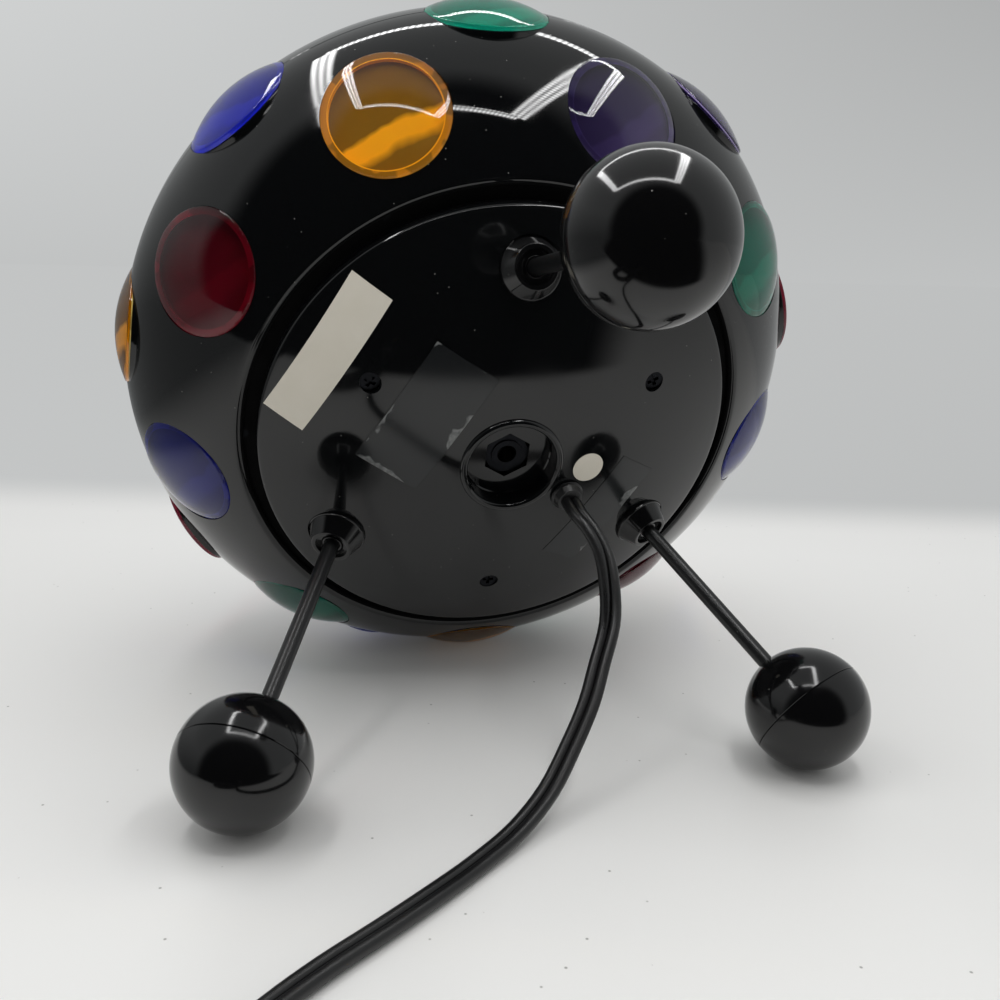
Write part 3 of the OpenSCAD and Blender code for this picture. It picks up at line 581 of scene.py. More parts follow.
def stored(name: str, mesh: BMesh) -> Mesh:
    """Moves a shape into mesh data and frees it.

    Args:
        name: Name of the data.
        mesh: The shape.

    Returns:
        The data.
    """
    data = bpy.data.meshes.new(name)
    mesh.to_mesh(data)
    mesh.free()
    return data


def put(name: str, data: ID) -> Object:
    """Puts an object with its data into the scene.

    Args:
        name: The object's name.
        data: Its mesh, light or camera.

    Returns:
        The object.
    """
    item = bpy.data.objects.new(name, data)
    bpy.context.scene.collection.objects.link(item)
    return item


def cut(mesh: BMesh, cutter: BMesh) -> BMesh:
    """Takes one closed shape out of another.

    Args:
        mesh: The shape that is cut, which is freed.
        cutter: The shape that is taken out, which is freed.

    Returns:
        What is left.
    """
    for shape in (mesh, cutter):
        close(shape)
    target, tool = pair = [put("cut", stored("cut", shape)) for shape in (mesh, cutter)]
    modifier = target.modifiers.new("cut", "BOOLEAN")
    modifier.operation = "DIFFERENCE"
    modifier.solver = "EXACT"
    modifier.object = tool
    left = bmesh.new()
    left.from_object(target, bpy.context.evaluated_depsgraph_get())
    for item in pair:
        data = item.data
        bpy.data.objects.remove(item)
        bpy.data.meshes.remove(data)
    return left


def join(mesh: BMesh, other: BMesh) -> None:
    """Adds a closed shape to another as it is.

    Args:
        mesh: The shape that gets it.
        other: The shape that is added, which is freed.
    """
    close(other)
    data = stored("join", other)
    mesh.from_mesh(data)
    bpy.data.meshes.remove(data)


def make(name: str, mesh: BMesh, finishes: list[Finish], body: str, slot: str, *nodes: str,
         sharp: float = 34.0) -> Object:
    """Turns a shape in millimetres into a piece that rides on a body.

    Args:
        name: The piece's name.
        mesh: Its shape in the frame the lamp lies in, which is freed.
        finishes: Its materials, in slot order.
        body: The body that it moves with.
        slot: The record's material slot; not used.
        nodes: The solids that it stands for.
        sharp: Angle between faces, in degrees, above which an edge shows.

    Returns:
        The piece.
    """
    close(mesh)
    bmesh.ops.scale(mesh, vec=(MM, MM, MM), verts=mesh.verts)
    data = stored(name, mesh)
    data.shade_smooth()
    data.set_sharp_from_angle(angle=radians(sharp))
    for finish in finishes:
        data.materials.append(finish.material())
    piece = put(name, data)
    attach(piece, body)
    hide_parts(*nodes)
    stands_for = ", ".join(nodes) or "no solid"
    LOG.info("%s: %d faces on %s, for %s", name, len(data.polygons), body, stands_for)
    return piece


@dataclass(frozen=True)
class Spheroid:
    """The lamp's skin: two half spheroids that meet at the seam, in the upright frame."""

    radius: float = 95.0
    low: float = 56.0
    up: float = 70.0

    def half(self, u: float) -> float:
        """Height of the half that a profile angle lies on."""
        return self.low if u < 0 else self.up

    def point(self, u: float) -> Pair:
        """Radius and height at a profile angle, which is 0 at the seam and 90 degrees at the crown."""
        a = radians(u)
        return self.radius * cos(a), self.half(u) * sin(a)

    def normal(self, u: float) -> float:
        """Angle of the outward normal above the level, in degrees."""
        a = radians(u)
        return degrees(atan2(sin(a) / self.half(u), cos(a) / self.radius))

    def low_angle(self, r: float, inset: float = 0.0) -> float:
        """Profile angle on the lower half at a radius, on the skin or on a wall's inner face."""
        return -degrees(acos(r / (self.radius - inset)))

    def arc(self, start: float, end: float, step: float, inset: float = 0.0) -> Points:
        """Profile points between two angles.

        Args:
            start: First profile angle.
            end: Last profile angle.
            step: Largest angle between points.
            inset: How much smaller the spheroid is all round.

        Returns:
            Radius and height of each point.
        """
        count = ceil(abs(end - start) / step)
        wide, high = self.radius - inset, self.half(min(start, end)) - inset
        turns = [radians(start + (end - start) * i / count) for i in range(count + 1)]
        return [(wide * cos(a), high * sin(a)) for a in turns]

    def frame(self, u: float, turn: float) -> Matrix:
        """Local frame on the skin with its Z along the outward normal.

        Args:
            u: Profile angle.
            turn: Angle round the lamp's axis.

        Returns:
            The frame's place.
        """
        r, z = self.point(u)
        return turned(turn) @ Matrix.Translation((r, 0, z)) @ turned(90 - self.normal(u), "Y")

    def under(self, x: float, y: float = 0.0, lift: float = 0.0) -> Vector:
        """Point on the underside, lifted off it along the normal.

        Args:
            x: Across.
            y: Along.
            lift: Height off the skin.

        Returns:
            The point in the upright frame.
        """
        z = -self.low * sqrt(1 - (x * x + y * y) / self.radius ** 2)
        out = Vector((x / self.radius ** 2, y / self.radius ** 2, z / self.low ** 2)).normalized()
        return Vector((x, y, z)) + lift * out


SKIN = Spheroid()


def lying() -> Matrix:
    """Place of the upright lamp as it lies, from the shell's joint.

    Returns:
        The place, in millimetres.
    """
    spin = next(j for j in frame["joints"] if j["name"] == "shell_spin")
    z = Vector(spin["axis"]).normalized()
    x = Vector((1, 0, 0))
    turn = Matrix((x, z.cross(x), z)).transposed().to_4x4()
    return Matrix.Translation(Vector(spin["pos_m"]) / MM) @ turn


LYING = lying()


@dataclass
class Studio:
    """Camera, floor and lamps of a small light tent with a frame of light strips in its roof."""

    camera_at: Triple = (-69.12, -259.36, 123.22)
    look: Triple = (0.25718, 0.93128, -0.25803)
    right: Triple = (0.96551, -0.25884, 0.02813)
    lens_mm: float = 36.616
    shift_up: float = 0.0266
    strip_centre: Triple = (-25.0, -45.0, 320.0)
    strip_frame: Pair = (240.0, 215.0)
    strip_widths: Pair = (12.0, 26.0)
    strip_glow: float = 10.0
    strip_turn: float = -20.0
    diode_pitch: float = 5.5
    row_pitch: float = 8.7
    diode_range: Pair = (0.45, 1.55)
    opening: Triple = (-0.27, -0.95, 0.16)
    opening_edge: Pair = (0.42, 0.64)
    room: str = "#0e0f10"
    curtain: str = "#7d7f7f"
    shade_side: Pair = (-0.2, -0.6)
    shade_rise: Pair = (0.4, 0.0)
    cloth: str = "#b4b6b6"
    fill: Pair = (0.9, 0.3)
    wall: str = "#fdffff"
    wall_level: float = 0.54
    wall_side: float = -0.03
    wall_rise: float = -1.1
    wall_from: Pair = (196.0, 276.0)
    front_from: Pair = (-170.0, -186.0)
    curtain_from: Pair = (-160.0, -320.0)
    card: str = "#ebebe9"
    card_roughness: float = 0.42
    card_glow: float = 0.07
    card_glow_from: Pair = (-20.0, 160.0)
    lint: str = "#a2a29e"
    lint_pitch: float = 9.0
    lint_edge: Pair = (0.045, 0.02)
    floor_size: float = 6000.0
    floor_drop: float = 0.15

    def build(self) -> None:
        """Makes the camera, the lamps, the world and the floor."""
        self.camera()
        self.strips()
        self.world()
        self.floor()
        bpy.context.scene.view_settings.view_transform = "Standard"

    def camera(self) -> None:
        """Sets the camera at the photograph's place and angle."""
        data = bpy.data.cameras.new("camera")
        data.sensor_width = 36.0
        data.lens = self.lens_mm
        data.shift_y = self.shift_up
        data.clip_start = 0.01
        camera = put("camera", data)
        look = Vector(self.look).normalized()
        up = Vector(self.right).normalized().cross(look).normalized()
        turn = Matrix((look.cross(up), up, -look)).transposed().to_4x4()
        camera.matrix_world = Matrix.Translation(Vector(self.camera_at) * MM) @ turn
        bpy.context.scene.camera = camera

    def strips(self) -> None:
        """Hangs four strips of diodes as a frame above the lamp."""
        wide, deep = self.strip_frame
        thin, broad = self.strip_widths
        centre = Matrix.Translation(Vector(self.strip_centre) * MM) @ turned(self.strip_turn)
        sides = [(0, deep / 2, wide, thin, 0), (0, -deep / 2, wide, thin, 0), (wide / 2, 0, deep, broad, 90),
                 (-wide / 2, 0, deep, broad, 90)]
        for i, (x, y, length, width, angle) in enumerate(sides):
            data = bpy.data.lights.new(f"strip_{i}", "AREA")
            data.shape = "RECTANGLE"
            data.size = length * MM
            data.size_y = width * MM
            data.energy = self.strip_glow * pi * length * width * MM * MM
            self.diodes(data, length / self.diode_pitch, width / self.row_pitch)
            strip = put(f"strip_{i}", data)
            strip.matrix_world = centre @ Matrix.Translation((x * MM, y * MM, 0)) @ turned(angle)
            strip.visible_camera = False

    def diodes(self, light: Light, along: float, across: float) -> None:
        """Breaks a strip's light up into rows of diodes.

        Args:
            light: The strip's light.
            along: Number of diodes in a row.
            across: Number of rows.
        """
        light.use_nodes = True
        tree = light.node_tree
        face = add(tree, "NewGeometry").node.outputs["Parametric"]
        split = add(tree, "SeparateXYZ", {"Vector": face}).node.outputs
        dim, bright = self.diode_range
        waves = []
        for name, count in (("X", along), ("Y", across)):
            run = add(tree, "Math", {0: split[name], 1: tau * count, 2: -pi / 2}, operation="MULTIPLY_ADD")
            wave = add(tree, "Math", {0: run}, operation="SINE")
            waves.append(add(tree, "MapRange", {"Value": wave, "From Min": -1.0, "To Min": dim,
                                                "To Max": bright}))
        both = add(tree, "Math", {0: waves[0], 1: waves[1]}, operation="MULTIPLY")
        connect(tree, tree.nodes["Emission"], {"Strength": both})

    def open_front(self, tree: NodeTree, way: NodeSocket) -> NodeSocket:
        """Finds how far a direction points out of the tent's opening.

        Args:
            tree: The nodes of the world or the floor.
            way: The direction.

        Returns:
            From 0 on the cloth to 1 in the opening.
        """
        front = add(tree, "VectorMath", {0: way, 1: self.opening}, operation="DOT_PRODUCT")
        low, high = self.opening_edge
        return add(tree, "MapRange", {"Value": front, "From Min": low, "From Max": high},
                   interpolation_type="SMOOTHSTEP")

    def world(self) -> None:
        """Lights the tent: pale grey all round, with a dark opening in front."""
        world = bpy.data.worlds.new("tent")
        world.use_nodes = True
        bpy.context.scene.world = world
        tree = world.node_tree
        path = add(tree, "LightPath").node.outputs
        way = add(tree, "TexCoord").node.outputs["Generated"]
        opening = self.open_front(tree, way)
        side = add(tree, "VectorMath", {0: way, 1: self.right}, operation="DOT_PRODUCT")
        rise = add(tree, "SeparateXYZ", {"Vector": way}).node.outputs["Z"]
        left, low = (add(tree, "MapRange", {"Value": value, "From Min": start, "From Max": end})
                     for value, (start, end) in ((side, self.shade_side), (rise, self.shade_rise)))
        shade = add(tree, "Math", {0: left, 1: low}, operation="MULTIPLY")
        cloth = add(tree, "Mix", {0: shade, 6: linear(self.cloth), 7: linear(self.curtain)}, data_type="RGBA")
        seen = add(tree, "Mix", {0: opening, 6: cloth, 7: linear(self.room)}, data_type="RGBA")
        mirror = add(tree, "Background", {"Color": seen, "Strength": 1.0})
        soft = add(tree, "MapRange", {"Value": opening, "To Min": self.fill[0], "To Max": self.fill[1]})
        fill = add(tree, "Background", {"Color": linear(WHITE), "Strength": soft})
        slope = add(tree, "Math", {0: rise, 1: self.wall_rise, 2: self.wall_side}, operation="MULTIPLY_ADD")
        level = add(tree, "Math", {0: side, 1: slope, 2: self.wall_level}, operation="MULTIPLY_ADD")
        wall = add(tree, "Background", {"Color": linear(self.wall), "Strength": level})
        glossy = add(tree, "Math", {0: path["Is Glossy Ray"], 1: path["Is Transmission Ray"]},
                     operation="MAXIMUM")
        first = add(tree, "MixShader", {0: glossy, 1: fill, 2: mirror})
        second = add(tree, "MixShader", {0: path["Is Camera Ray"], 1: first, 2: wall})
        connect(tree, tree.nodes["World Output"], {"Surface": second})

    def floor(self) -> None:
        """Lays a pale floor that turns into the tent's grey wall, and ends at the opening for reflections."""
        mesh = bmesh.new()
        bmesh.ops.create_grid(mesh, x_segments=8, y_segments=8, size=self.floor_size)
        bmesh.ops.translate(mesh, vec=(0, 0, -self.floor_drop), verts=mesh.verts)
        bmesh.ops.scale(mesh, vec=(MM, MM, MM), verts=mesh.verts)
        floor = put("floor", stored("floor", mesh))
        material = bpy.data.materials.new("Matt white sweep card")
        material.use_nodes = True
        self.sweep(material.node_tree)
        floor.data.materials.append(material)

    def sweep(self, tree: NodeTree) -> None:
        """Draws the card with its lint, and the wall, curtain and opening that rays see beyond it.

        Args:
            tree: The floor's nodes.
        """
        place = add(tree, "TexCoord").node.outputs["Object"]
        path = add(tree, "LightPath").node.outputs
        camera, glossy = path["Is Camera Ray"], path["Is Glossy Ray"]
        back = Vector(self.look).to_2d().normalized()
        depth = add(tree, "VectorMath", {0: place, 1: (back.x, back.y, 0.0)}, operation="DOT_PRODUCT")
        across = add(tree, "VectorMath", {0: place, 1: self.right}, operation="DOT_PRODUCT")
        ahead = add(tree, "SeparateXYZ", {"Vector": place}).node.outputs["Y"]
        way = add(tree, "VectorMath", {0: place}, operation="NORMALIZE")
        side = add(tree, "VectorMath", {0: way, 1: self.right}, operation="DOT_PRODUCT")

        # White card with dark lint, a little brighter to the eye towards the back
        cells = add(tree, "TexVoronoi", {"Vector": place, "Scale": PER_METRE / self.lint_pitch})
        low, high = self.lint_edge
        lint = add(tree, "MapRange", {"Value": cells, "From Min": low, "From Max": high})
        tone = add(tree, "Mix", {0: lint, 6: linear(self.card), 7: linear(self.lint)}, data_type="RGBA")
        low, high = self.card_glow_from
        bright = add(tree, "MapRange", {"Value": depth, "From Min": low * MM, "From Max": high * MM,
                                        "To Max": self.card_glow})
        lift = add(tree, "Math", {0: bright, 1: camera}, operation="MULTIPLY")
        shader = tree.nodes["Principled BSDF"]
        connect(tree, shader, {"Base Color": tone, "Roughness": self.card_roughness,
                               "Emission Color": linear(WHITE), "Emission Strength": lift})

        # Wall at the back, for all rays that show it
        low, high = self.wall_from
        far = add(tree, "MapRange", {"Value": depth, "From Min": low * MM, "From Max": high * MM},
                  interpolation_type="SMOOTHSTEP")
        seen = add(tree, "Math", {0: camera, 1: glossy}, operation="MAXIMUM")
        also = add(tree, "Math", {0: seen, 1: path["Is Transmission Ray"]}, operation="MAXIMUM")
        share = add(tree, "Math", {0: far, 1: also}, operation="MULTIPLY")
        level = add(tree, "Math", {0: side, 1: self.wall_side, 2: self.wall_level}, operation="MULTIPLY_ADD")
        wall = add(tree, "Emission", {"Color": linear(self.wall), "Strength": level})
        shown = add(tree, "MixShader", {0: share, 1: shader.outputs["BSDF"], 2: wall})

        # Curtain at the left and dark room in front, for reflections alone
        low, high = self.curtain_from
        left = add(tree, "MapRange", {"Value": across, "From Min": low * MM, "From Max": high * MM},
                   interpolation_type="SMOOTHSTEP")
        low, high = self.front_from
        beyond = add(tree, "MapRange", {"Value": ahead, "From Min": low * MM, "From Max": high * MM})
        dark = add(tree, "Math", {0: beyond, 1: self.open_front(tree, way)}, operation="MULTIPLY")
        for part, colour in ((left, self.curtain), (dark, self.room)):
            reflected = add(tree, "Math", {0: part, 1: glossy}, operation="MULTIPLY")
            glow = add(tree, "Emission", {"Color": linear(colour), "Strength": 1.0})
            shown = add(tree, "MixShader", {0: reflected, 1: shown, 2: glow})
        connect(tree, tree.nodes["Material Output"], {"Surface": shown})


@dataclass
class MainsLead:
    """Flat twin cord with its tied coil and its plug, in the frame that the lamp lies in."""

    width: float = 5.4
    thick: float = 2.8
    cleft: float = 0.3
    exit_at: Vector = field(default_factory=lambda: Vector((17.1505, -15.3129, 61.6647)))
    exit_way: Vector = field(default_factory=lambda: Vector((0.102401, -0.903715, -0.415709)))
    points: tuple[Triple, ...] = (
        (20, -24.5, 56), (22, -29, 50.5), (22, -34, 43.5), (20.5, -39, 36), (16, -45, 28), (11.5, -51, 21),
        (5.5, -57, 14), (-2, -64, 7), (-11.5, -72, 3), (-22.5, -80.5, 1.6), (-33.5, -89, 1.6),
        (-44.5, -97, 1.6), (-56, -105, 1.6), (-66, -113, 1.6), (-75, -122, 2), (-81.5, -132, 2.5),
        (-85, -143.5, 3), (-86, -154, 3.4))
    route_steps: int = 4
    rolled_from: int = 8
    rolled_over: int = 6
    coil_centre: Pair = (-126.0, -170.0)
    coil_radius: float = 40.0
    coil_turns: int = 8
    coil_steps: int = 32
    coil_pitch: float = 4.4
    coil_lift: float = 0.9
    layer_pitch: float = 6.4
    tie_wide: float = 6.0
    tie_thick: float = 0.7
    tie_round: float = 2.4
    tie_lock: Triple = (7.0, 7.4, 3.6)
    plug_lead: float = 22.0
    plug_size: Triple = (15.0, 30.0, 20.0)
    nose: float = 9.0
    nose_ribs: int = 3
    rib_pitch: float = 2.4
    rib_growth: float = 0.35
    blade: Triple = (6.3, 17.0, 1.5)
    blade_gap: float = 12.7
    blade_hole: float = 1.5
    blade_hole_at: float = 4.2

    @staticmethod
    def ease(s: float) -> float:
        """Smooth step from 0 to 1."""
        x = min(max(s, 0.0), 1.0)
        return x * x * x * (x * (6 * x - 15) + 10)

    def low_z(self) -> float:
        """Height of the coil's lower layer."""
        return self.coil_lift + self.width / 2

    def coil_point(self, t: float) -> Vector:
        """Point of the coil after a number of turns.

        Args:
            t: Turns from the coil's start.

        Returns:
            The point.
        """
        half = self.coil_turns / 2
        r = self.coil_radius - self.coil_pitch * (half - abs(t - half))
        z = self.low_z() + self.layer_pitch * self.ease((t - half) / 0.5 + 0.5)
        a = tau * t
        return Vector((self.coil_centre[0] + r * cos(a), self.coil_centre[1] - r * sin(a), z))

    def coil_end(self) -> Vector:
        """Where the cord goes into the plug."""
        return Vector((self.coil_centre[0] + self.coil_radius, self.coil_centre[1] - self.plug_lead,
                       self.low_z() + self.layer_pitch))

    def path(self) -> tuple[list[Vector], list[float]]:
        """Whole centreline from the bush to the plug.

        Returns:
            Points, and the roll of the flat section at each, in degrees.
        """
        start = Vector((self.coil_centre[0] + self.coil_radius, self.coil_centre[1] + self.width,
                        self.low_z()))
        route = [self.exit_at, self.exit_at + self.width * self.exit_way, *(Vector(p) for p in self.points),
                 start + Vector((0, 4, 0)), start]
        first = len(route) - self.rolled_from
        points, rolls = [], []
        for i, (a, b) in enumerate(zip(route, route[1:])):
            before, after = route[max(i - 1, 0)], route[min(i + 2, len(route) - 1)]
            for k in range(self.route_steps):
                s = k / self.route_steps
                points.append(0.5 * ((2 * a) + (b - before) * s + (2 * before - 5 * a + 4 * b - after) * s * s
                                     + (3 * a - before - 3 * b + after) * s ** 3))
                rolls.append(90 * self.ease((i + s - first) / self.rolled_over))
        steps = range(self.coil_turns * self.coil_steps + 1)
        coil = [start, *(self.coil_point(i / self.coil_steps) for i in steps), self.coil_end()]
        return points + coil, rolls + [90.0] * len(coil)

    def section(self) -> Points:
        """Outline across the cord: two round cores with a groove between them.

        Returns:
            Points across the width and the thickness.
        """
        r = self.thick / 2
        right = circle((self.width - self.thick) / 2, 0.0, r, -150, 150, 20)
        return right + [(0.0, r * self.cleft)] + [(-x, -y) for x, y in right] + [(0.0, -r * self.cleft)]

    def build(self) -> None:
        points, rolls = self.path()
        mesh = bmesh.new()
        outline = self.section()
        earlier = None
        for i, (point, roll) in enumerate(zip(points, rolls)):
            way = (points[min(i + 1, len(points) - 1)] - points[max(i - 1, 0)]).normalized()
            level = Vector((0, 0, 1)).cross(way).normalized()
            a = radians(roll)
            wide = level * cos(a) + way.cross(level) * sin(a)
            thick = way.cross(wide)
            ring = [mesh.verts.new(point + x * wide + y * thick) for x, y in outline]
            lines = [mesh.edges.new(pair) for pair in zip(ring, ring[1:] + ring[:1])]
            if earlier:
                for old, line in zip(earlier, lines):
                    mesh.faces.new((*old.verts, *reversed(line.verts)))
            else:
                mesh.faces.new(ring)
            earlier = lines
        mesh.faces.new([line.verts[0] for line in earlier])
        cord = make("mains_lead", mesh, [CORD_PVC], BODY_BASE, "cord_black", "mains_cord", "cord_coil",
                    sharp=60)
        tie, plug, blades = self.tie(), self.plug(), self.blades()

    def tie(self) -> Object:
        """Makes the band that holds the coil, with its lock.

        Returns:
            The piece.
        """
        inside = self.coil_radius - self.coil_pitch * self.coil_turns / 2 - 2.5
        outside = self.coil_radius + 1.5
        low, high = self.coil_lift - 0.1, self.low_z() + self.layer_pitch + self.width / 2 + 0.1
        size = Vector((outside - inside + 2 * self.tie_thick, self.tie_wide, high - low + 2 * self.tie_thick))
        middle = Vector((self.coil_centre[0] - (inside + outside) / 2, self.coil_centre[1], (low + high) / 2))
        mesh = bmesh.new()
        block(mesh, middle, size)
        ends = [f for f in mesh.faces if abs(f.normal.y) > 0.9]
        bmesh.ops.delete(mesh, geom=ends, context="FACES_ONLY")
        corners = [e for e in mesh.edges if abs((e.verts[0].co - e.verts[1].co).normalized().y) > 0.9]
        bmesh.ops.bevel(mesh, geom=corners, offset=self.tie_round, segments=6, profile=0.5, affect="EDGES",
                        material=-1)
        bmesh.ops.recalc_face_normals(mesh, faces=mesh.faces)
        bmesh.ops.solidify(mesh, geom=mesh.faces, thickness=self.tie_thick)
        lock = bmesh.new()
        block(lock, middle + Vector((4.0, 0, size.z / 2 + 0.8)), self.tie_lock)
        soften(lock, 0.7, 3)
        join(mesh, lock)
        return make("cord_tie", mesh, [TIE_NYLON], BODY_BASE, "tie_black", "coil_tie")

    def plug(self) -> Object:
        """Makes the plug's moulded body, with finger grips and a ribbed nose.

        Returns:
            The piece.
        """
        wide, long, high = self.plug_size
        end = self.coil_end()
        body = long - self.nose
        mesh = bmesh.new()
        block(mesh, end - Vector((0, self.nose + body / 2, 0)), (wide, body, high))
        back = [f for f in mesh.faces if f.normal.y > 0.9]
        bmesh.ops.inset_region(mesh, faces=back, thickness=2.6, depth=1.4)
        grips = [f for f in mesh.faces if abs(f.normal.x) > 0.9 and f.calc_area() > 100]
        bmesh.ops.inset_individual(mesh, faces=grips, thickness=3.2, depth=0.0)
        bmesh.ops.inset_individual(mesh, faces=grips, thickness=0.8, depth=-0.9)
        soften(mesh, 0.9, 3, 30)
        nose = bmesh.new()
        ribs = [(0.0, 0.0), (3.6, 0.0), (4.2, 0.5)]
        for i in range(self.nose_ribs):
            y, out = 0.5 + self.rib_pitch * i, self.rib_growth * i
            ribs += [(4.3 + out, y + 1.5), (3.7 + out, y + 1.8), (3.7 + out, y + 2.3), (4.5 + out, y + 2.6)]
        ribs += [(5.6, self.nose + 0.6), (0.0, self.nose + 0.6)]
        lathe(nose, ribs, 48, Matrix.Translation(end) @ turned(90, "X"))
        join(mesh, nose)
        return make("plug", mesh, [PLUG_PVC], BODY_BASE, "plug_black", "plug_body")

    def blades(self) -> Object:
        """Makes the plug's two flat blades, each with its round hole.

        Returns:
            The piece.
        """
        root = self.coil_end() - Vector((0, self.plug_size[1], 0))
        wide, long, thick = self.blade
        mesh, holes = bmesh.new(), bmesh.new()
        for side in (-1, 1):
            level = side * self.blade_gap / 2
            plate = bmesh.new()
            block(plate, root + Vector((0, -long / 2 + 0.5, level)), (wide, long + 1, thick))
            soften(plate, 0.4, 2)
            join(mesh, plate)
            hole = Matrix.Translation(root + Vector((0, -long + self.blade_hole_at, level)))
            rod(holes, self.blade_hole, -2, 2, hole, 32)
        return make("plug_pins", cut(mesh, holes), [BRASS], BODY_BASE, "blade_brass", "plug_blades")


@dataclass
class Lens:
    """One round lens with a shallow dome, a rim and a plug, round its own axis."""

    radius: float = 15.0
    rise: float = 3.5
    rim: float = 1.0
    plug: float = 2.4
    hole: float = 13.0
    boss: float = 15.4
    boss_depth: float = 3.4
    boss_round: float = 0.25
    glue: float = 0.06
    dome_end: float = 0.3
    dome_steps: int = 14

    def sink(self) -> float:
        """Depth of the rim's top below the skin at the lens's middle."""
        return SKIN.radius - sqrt(SKIN.radius ** 2 - self.radius ** 2)

    def seat(self) -> float:
        """Level of the seat that the rim lies on."""
        return -self.sink() - self.rim

    def face(self) -> Points:
        """Profile of the dome and the rim, from the middle out and down to the seat.

        Returns:
            Radius and height of each point.
        """
        dome = (self.radius ** 2 + self.rise ** 2) / (2 * self.rise)
        centre = self.rise - self.sink() - dome
        radii = [(self.radius - self.dome_end) * i / self.dome_steps for i in range(self.dome_steps + 1)]
        points = [(r, centre + sqrt(dome ** 2 - r ** 2)) for r in radii]
        top = points[-1][1]
        return points + [(self.radius - 0.1, top - 0.14), (self.radius, top - 0.34),
                         (self.radius, self.seat() + self.glue)]

    def back(self) -> Points:
        """Profile of the ledge, the plug's side and its floor, from the rim in to the middle.

        Returns:
            Radius and height of each point.
        """
        inner = self.hole - 0.1
        floor, ledge = self.seat() - self.plug, self.seat() + self.glue
        return [(self.radius, ledge), (inner, ledge), (inner, floor), (inner / 2, floor), (0.0, floor)]

    def ring(self) -> Points:
        """Closed profile of the seat ring that carries the lens.

        Returns:
            Radius and height of each point.
        """
        low, top = self.seat() - self.boss_depth, self.seat()
        return [(self.hole, low), (self.hole, top), (self.boss - self.boss_round, top),
                (self.boss - 0.07, top - 0.07), (self.boss, top - self.boss_round), (self.boss, low)]


@dataclass
class LensRow:
    """A row of lenses round the shell: its profile angle, its offset in steps and its colours in turn."""

    row: Row
    angle: float
    offset: float
    colours: tuple[Tint, ...]

    def frames(self) -> list[tuple[Matrix, Tint]]:
        """Place and colour of each lens in the upright frame.

        Returns:
            A frame on the skin and a colour for each lens of the row.
        """
        step = 360 / len(self.colours)
        return [(SKIN.frame(self.angle, SHELL_TURN + (i + self.offset) * step), tint)
                for i, tint in enumerate(self.colours)]


SHELL_TURN = 90 - 2.9
LENS = Lens()
A, G, B, R, V = Tint
ROWS = (
    LensRow(Row.LOW, -29.0, 0.0, (A, G, B, R, A, V, G, B, R)),
    LensRow(Row.MID, 0.0, 0.5, (B, R, A, B, G, V, R, A, G)),
    LensRow(Row.HIGH, 29.0, 0.0, (G, B, R, A, V, G, B, R, A)),
    LensRow(Row.TOP, 60.0, 0.0, (R, V, A, G, B, A)),
    LensRow(Row.TOP, 90.0, 0.0, (G,)),
)


@dataclass
class LensSet:
    """All lenses of the shell, one piece for each row and colour."""

    steps: int = 72

    def build(self) -> None:
        """Makes a piece for each lens node."""
        for row in Row:
            for tint in Tint:
                lines = [line for line in ROWS if line.row is row]
                self.group(row, tint, [place for line in lines for place, t in line.frames() if t is tint])

    def group(self, row: Row, tint: Tint, places: list[Matrix]) -> None:
        """Makes the lenses of one row and colour, with a flat map that has the lamp's up at its top.

        Args:
            row: The row they are in.
            tint: Their colour.
            places: Their frames on the upright lamp.
        """
        mesh = bmesh.new()
        flat = mesh.loops.layers.uv.new("lens")
        for place in places:
            whole = LYING @ place
            back = whole.inverted()
            up = (back.to_3x3() @ Vector((0, 0, 1))).to_2d()
            up = up.normalized() if up.length > 0.05 else Vector((0, 1))
            for slot, profile in enumerate((LENS.face(), LENS.back())):
                earlier = set(mesh.faces)
                lathe(mesh, profile, self.steps, whole, closed=False)
                for f in (f for f in mesh.faces if f not in earlier):
                    f.material_index = slot
                    for loop in f.loops:
                        p = (back @ loop.vert.co).to_2d()
                        across, rise = p.x * up.y - p.y * up.x, p.dot(up)
                        loop[flat].uv = (across / 2 / LENS.radius + 0.5, rise / 2 / LENS.radius + 0.5)
        make(f"lenses_{row.value}_{tint.value}", mesh, [DOMES[tint], FLOORS[tint]], BODY_SHELL,
             f"lens_{tint.value}", f"lens_{row.value}_{tint.value}")


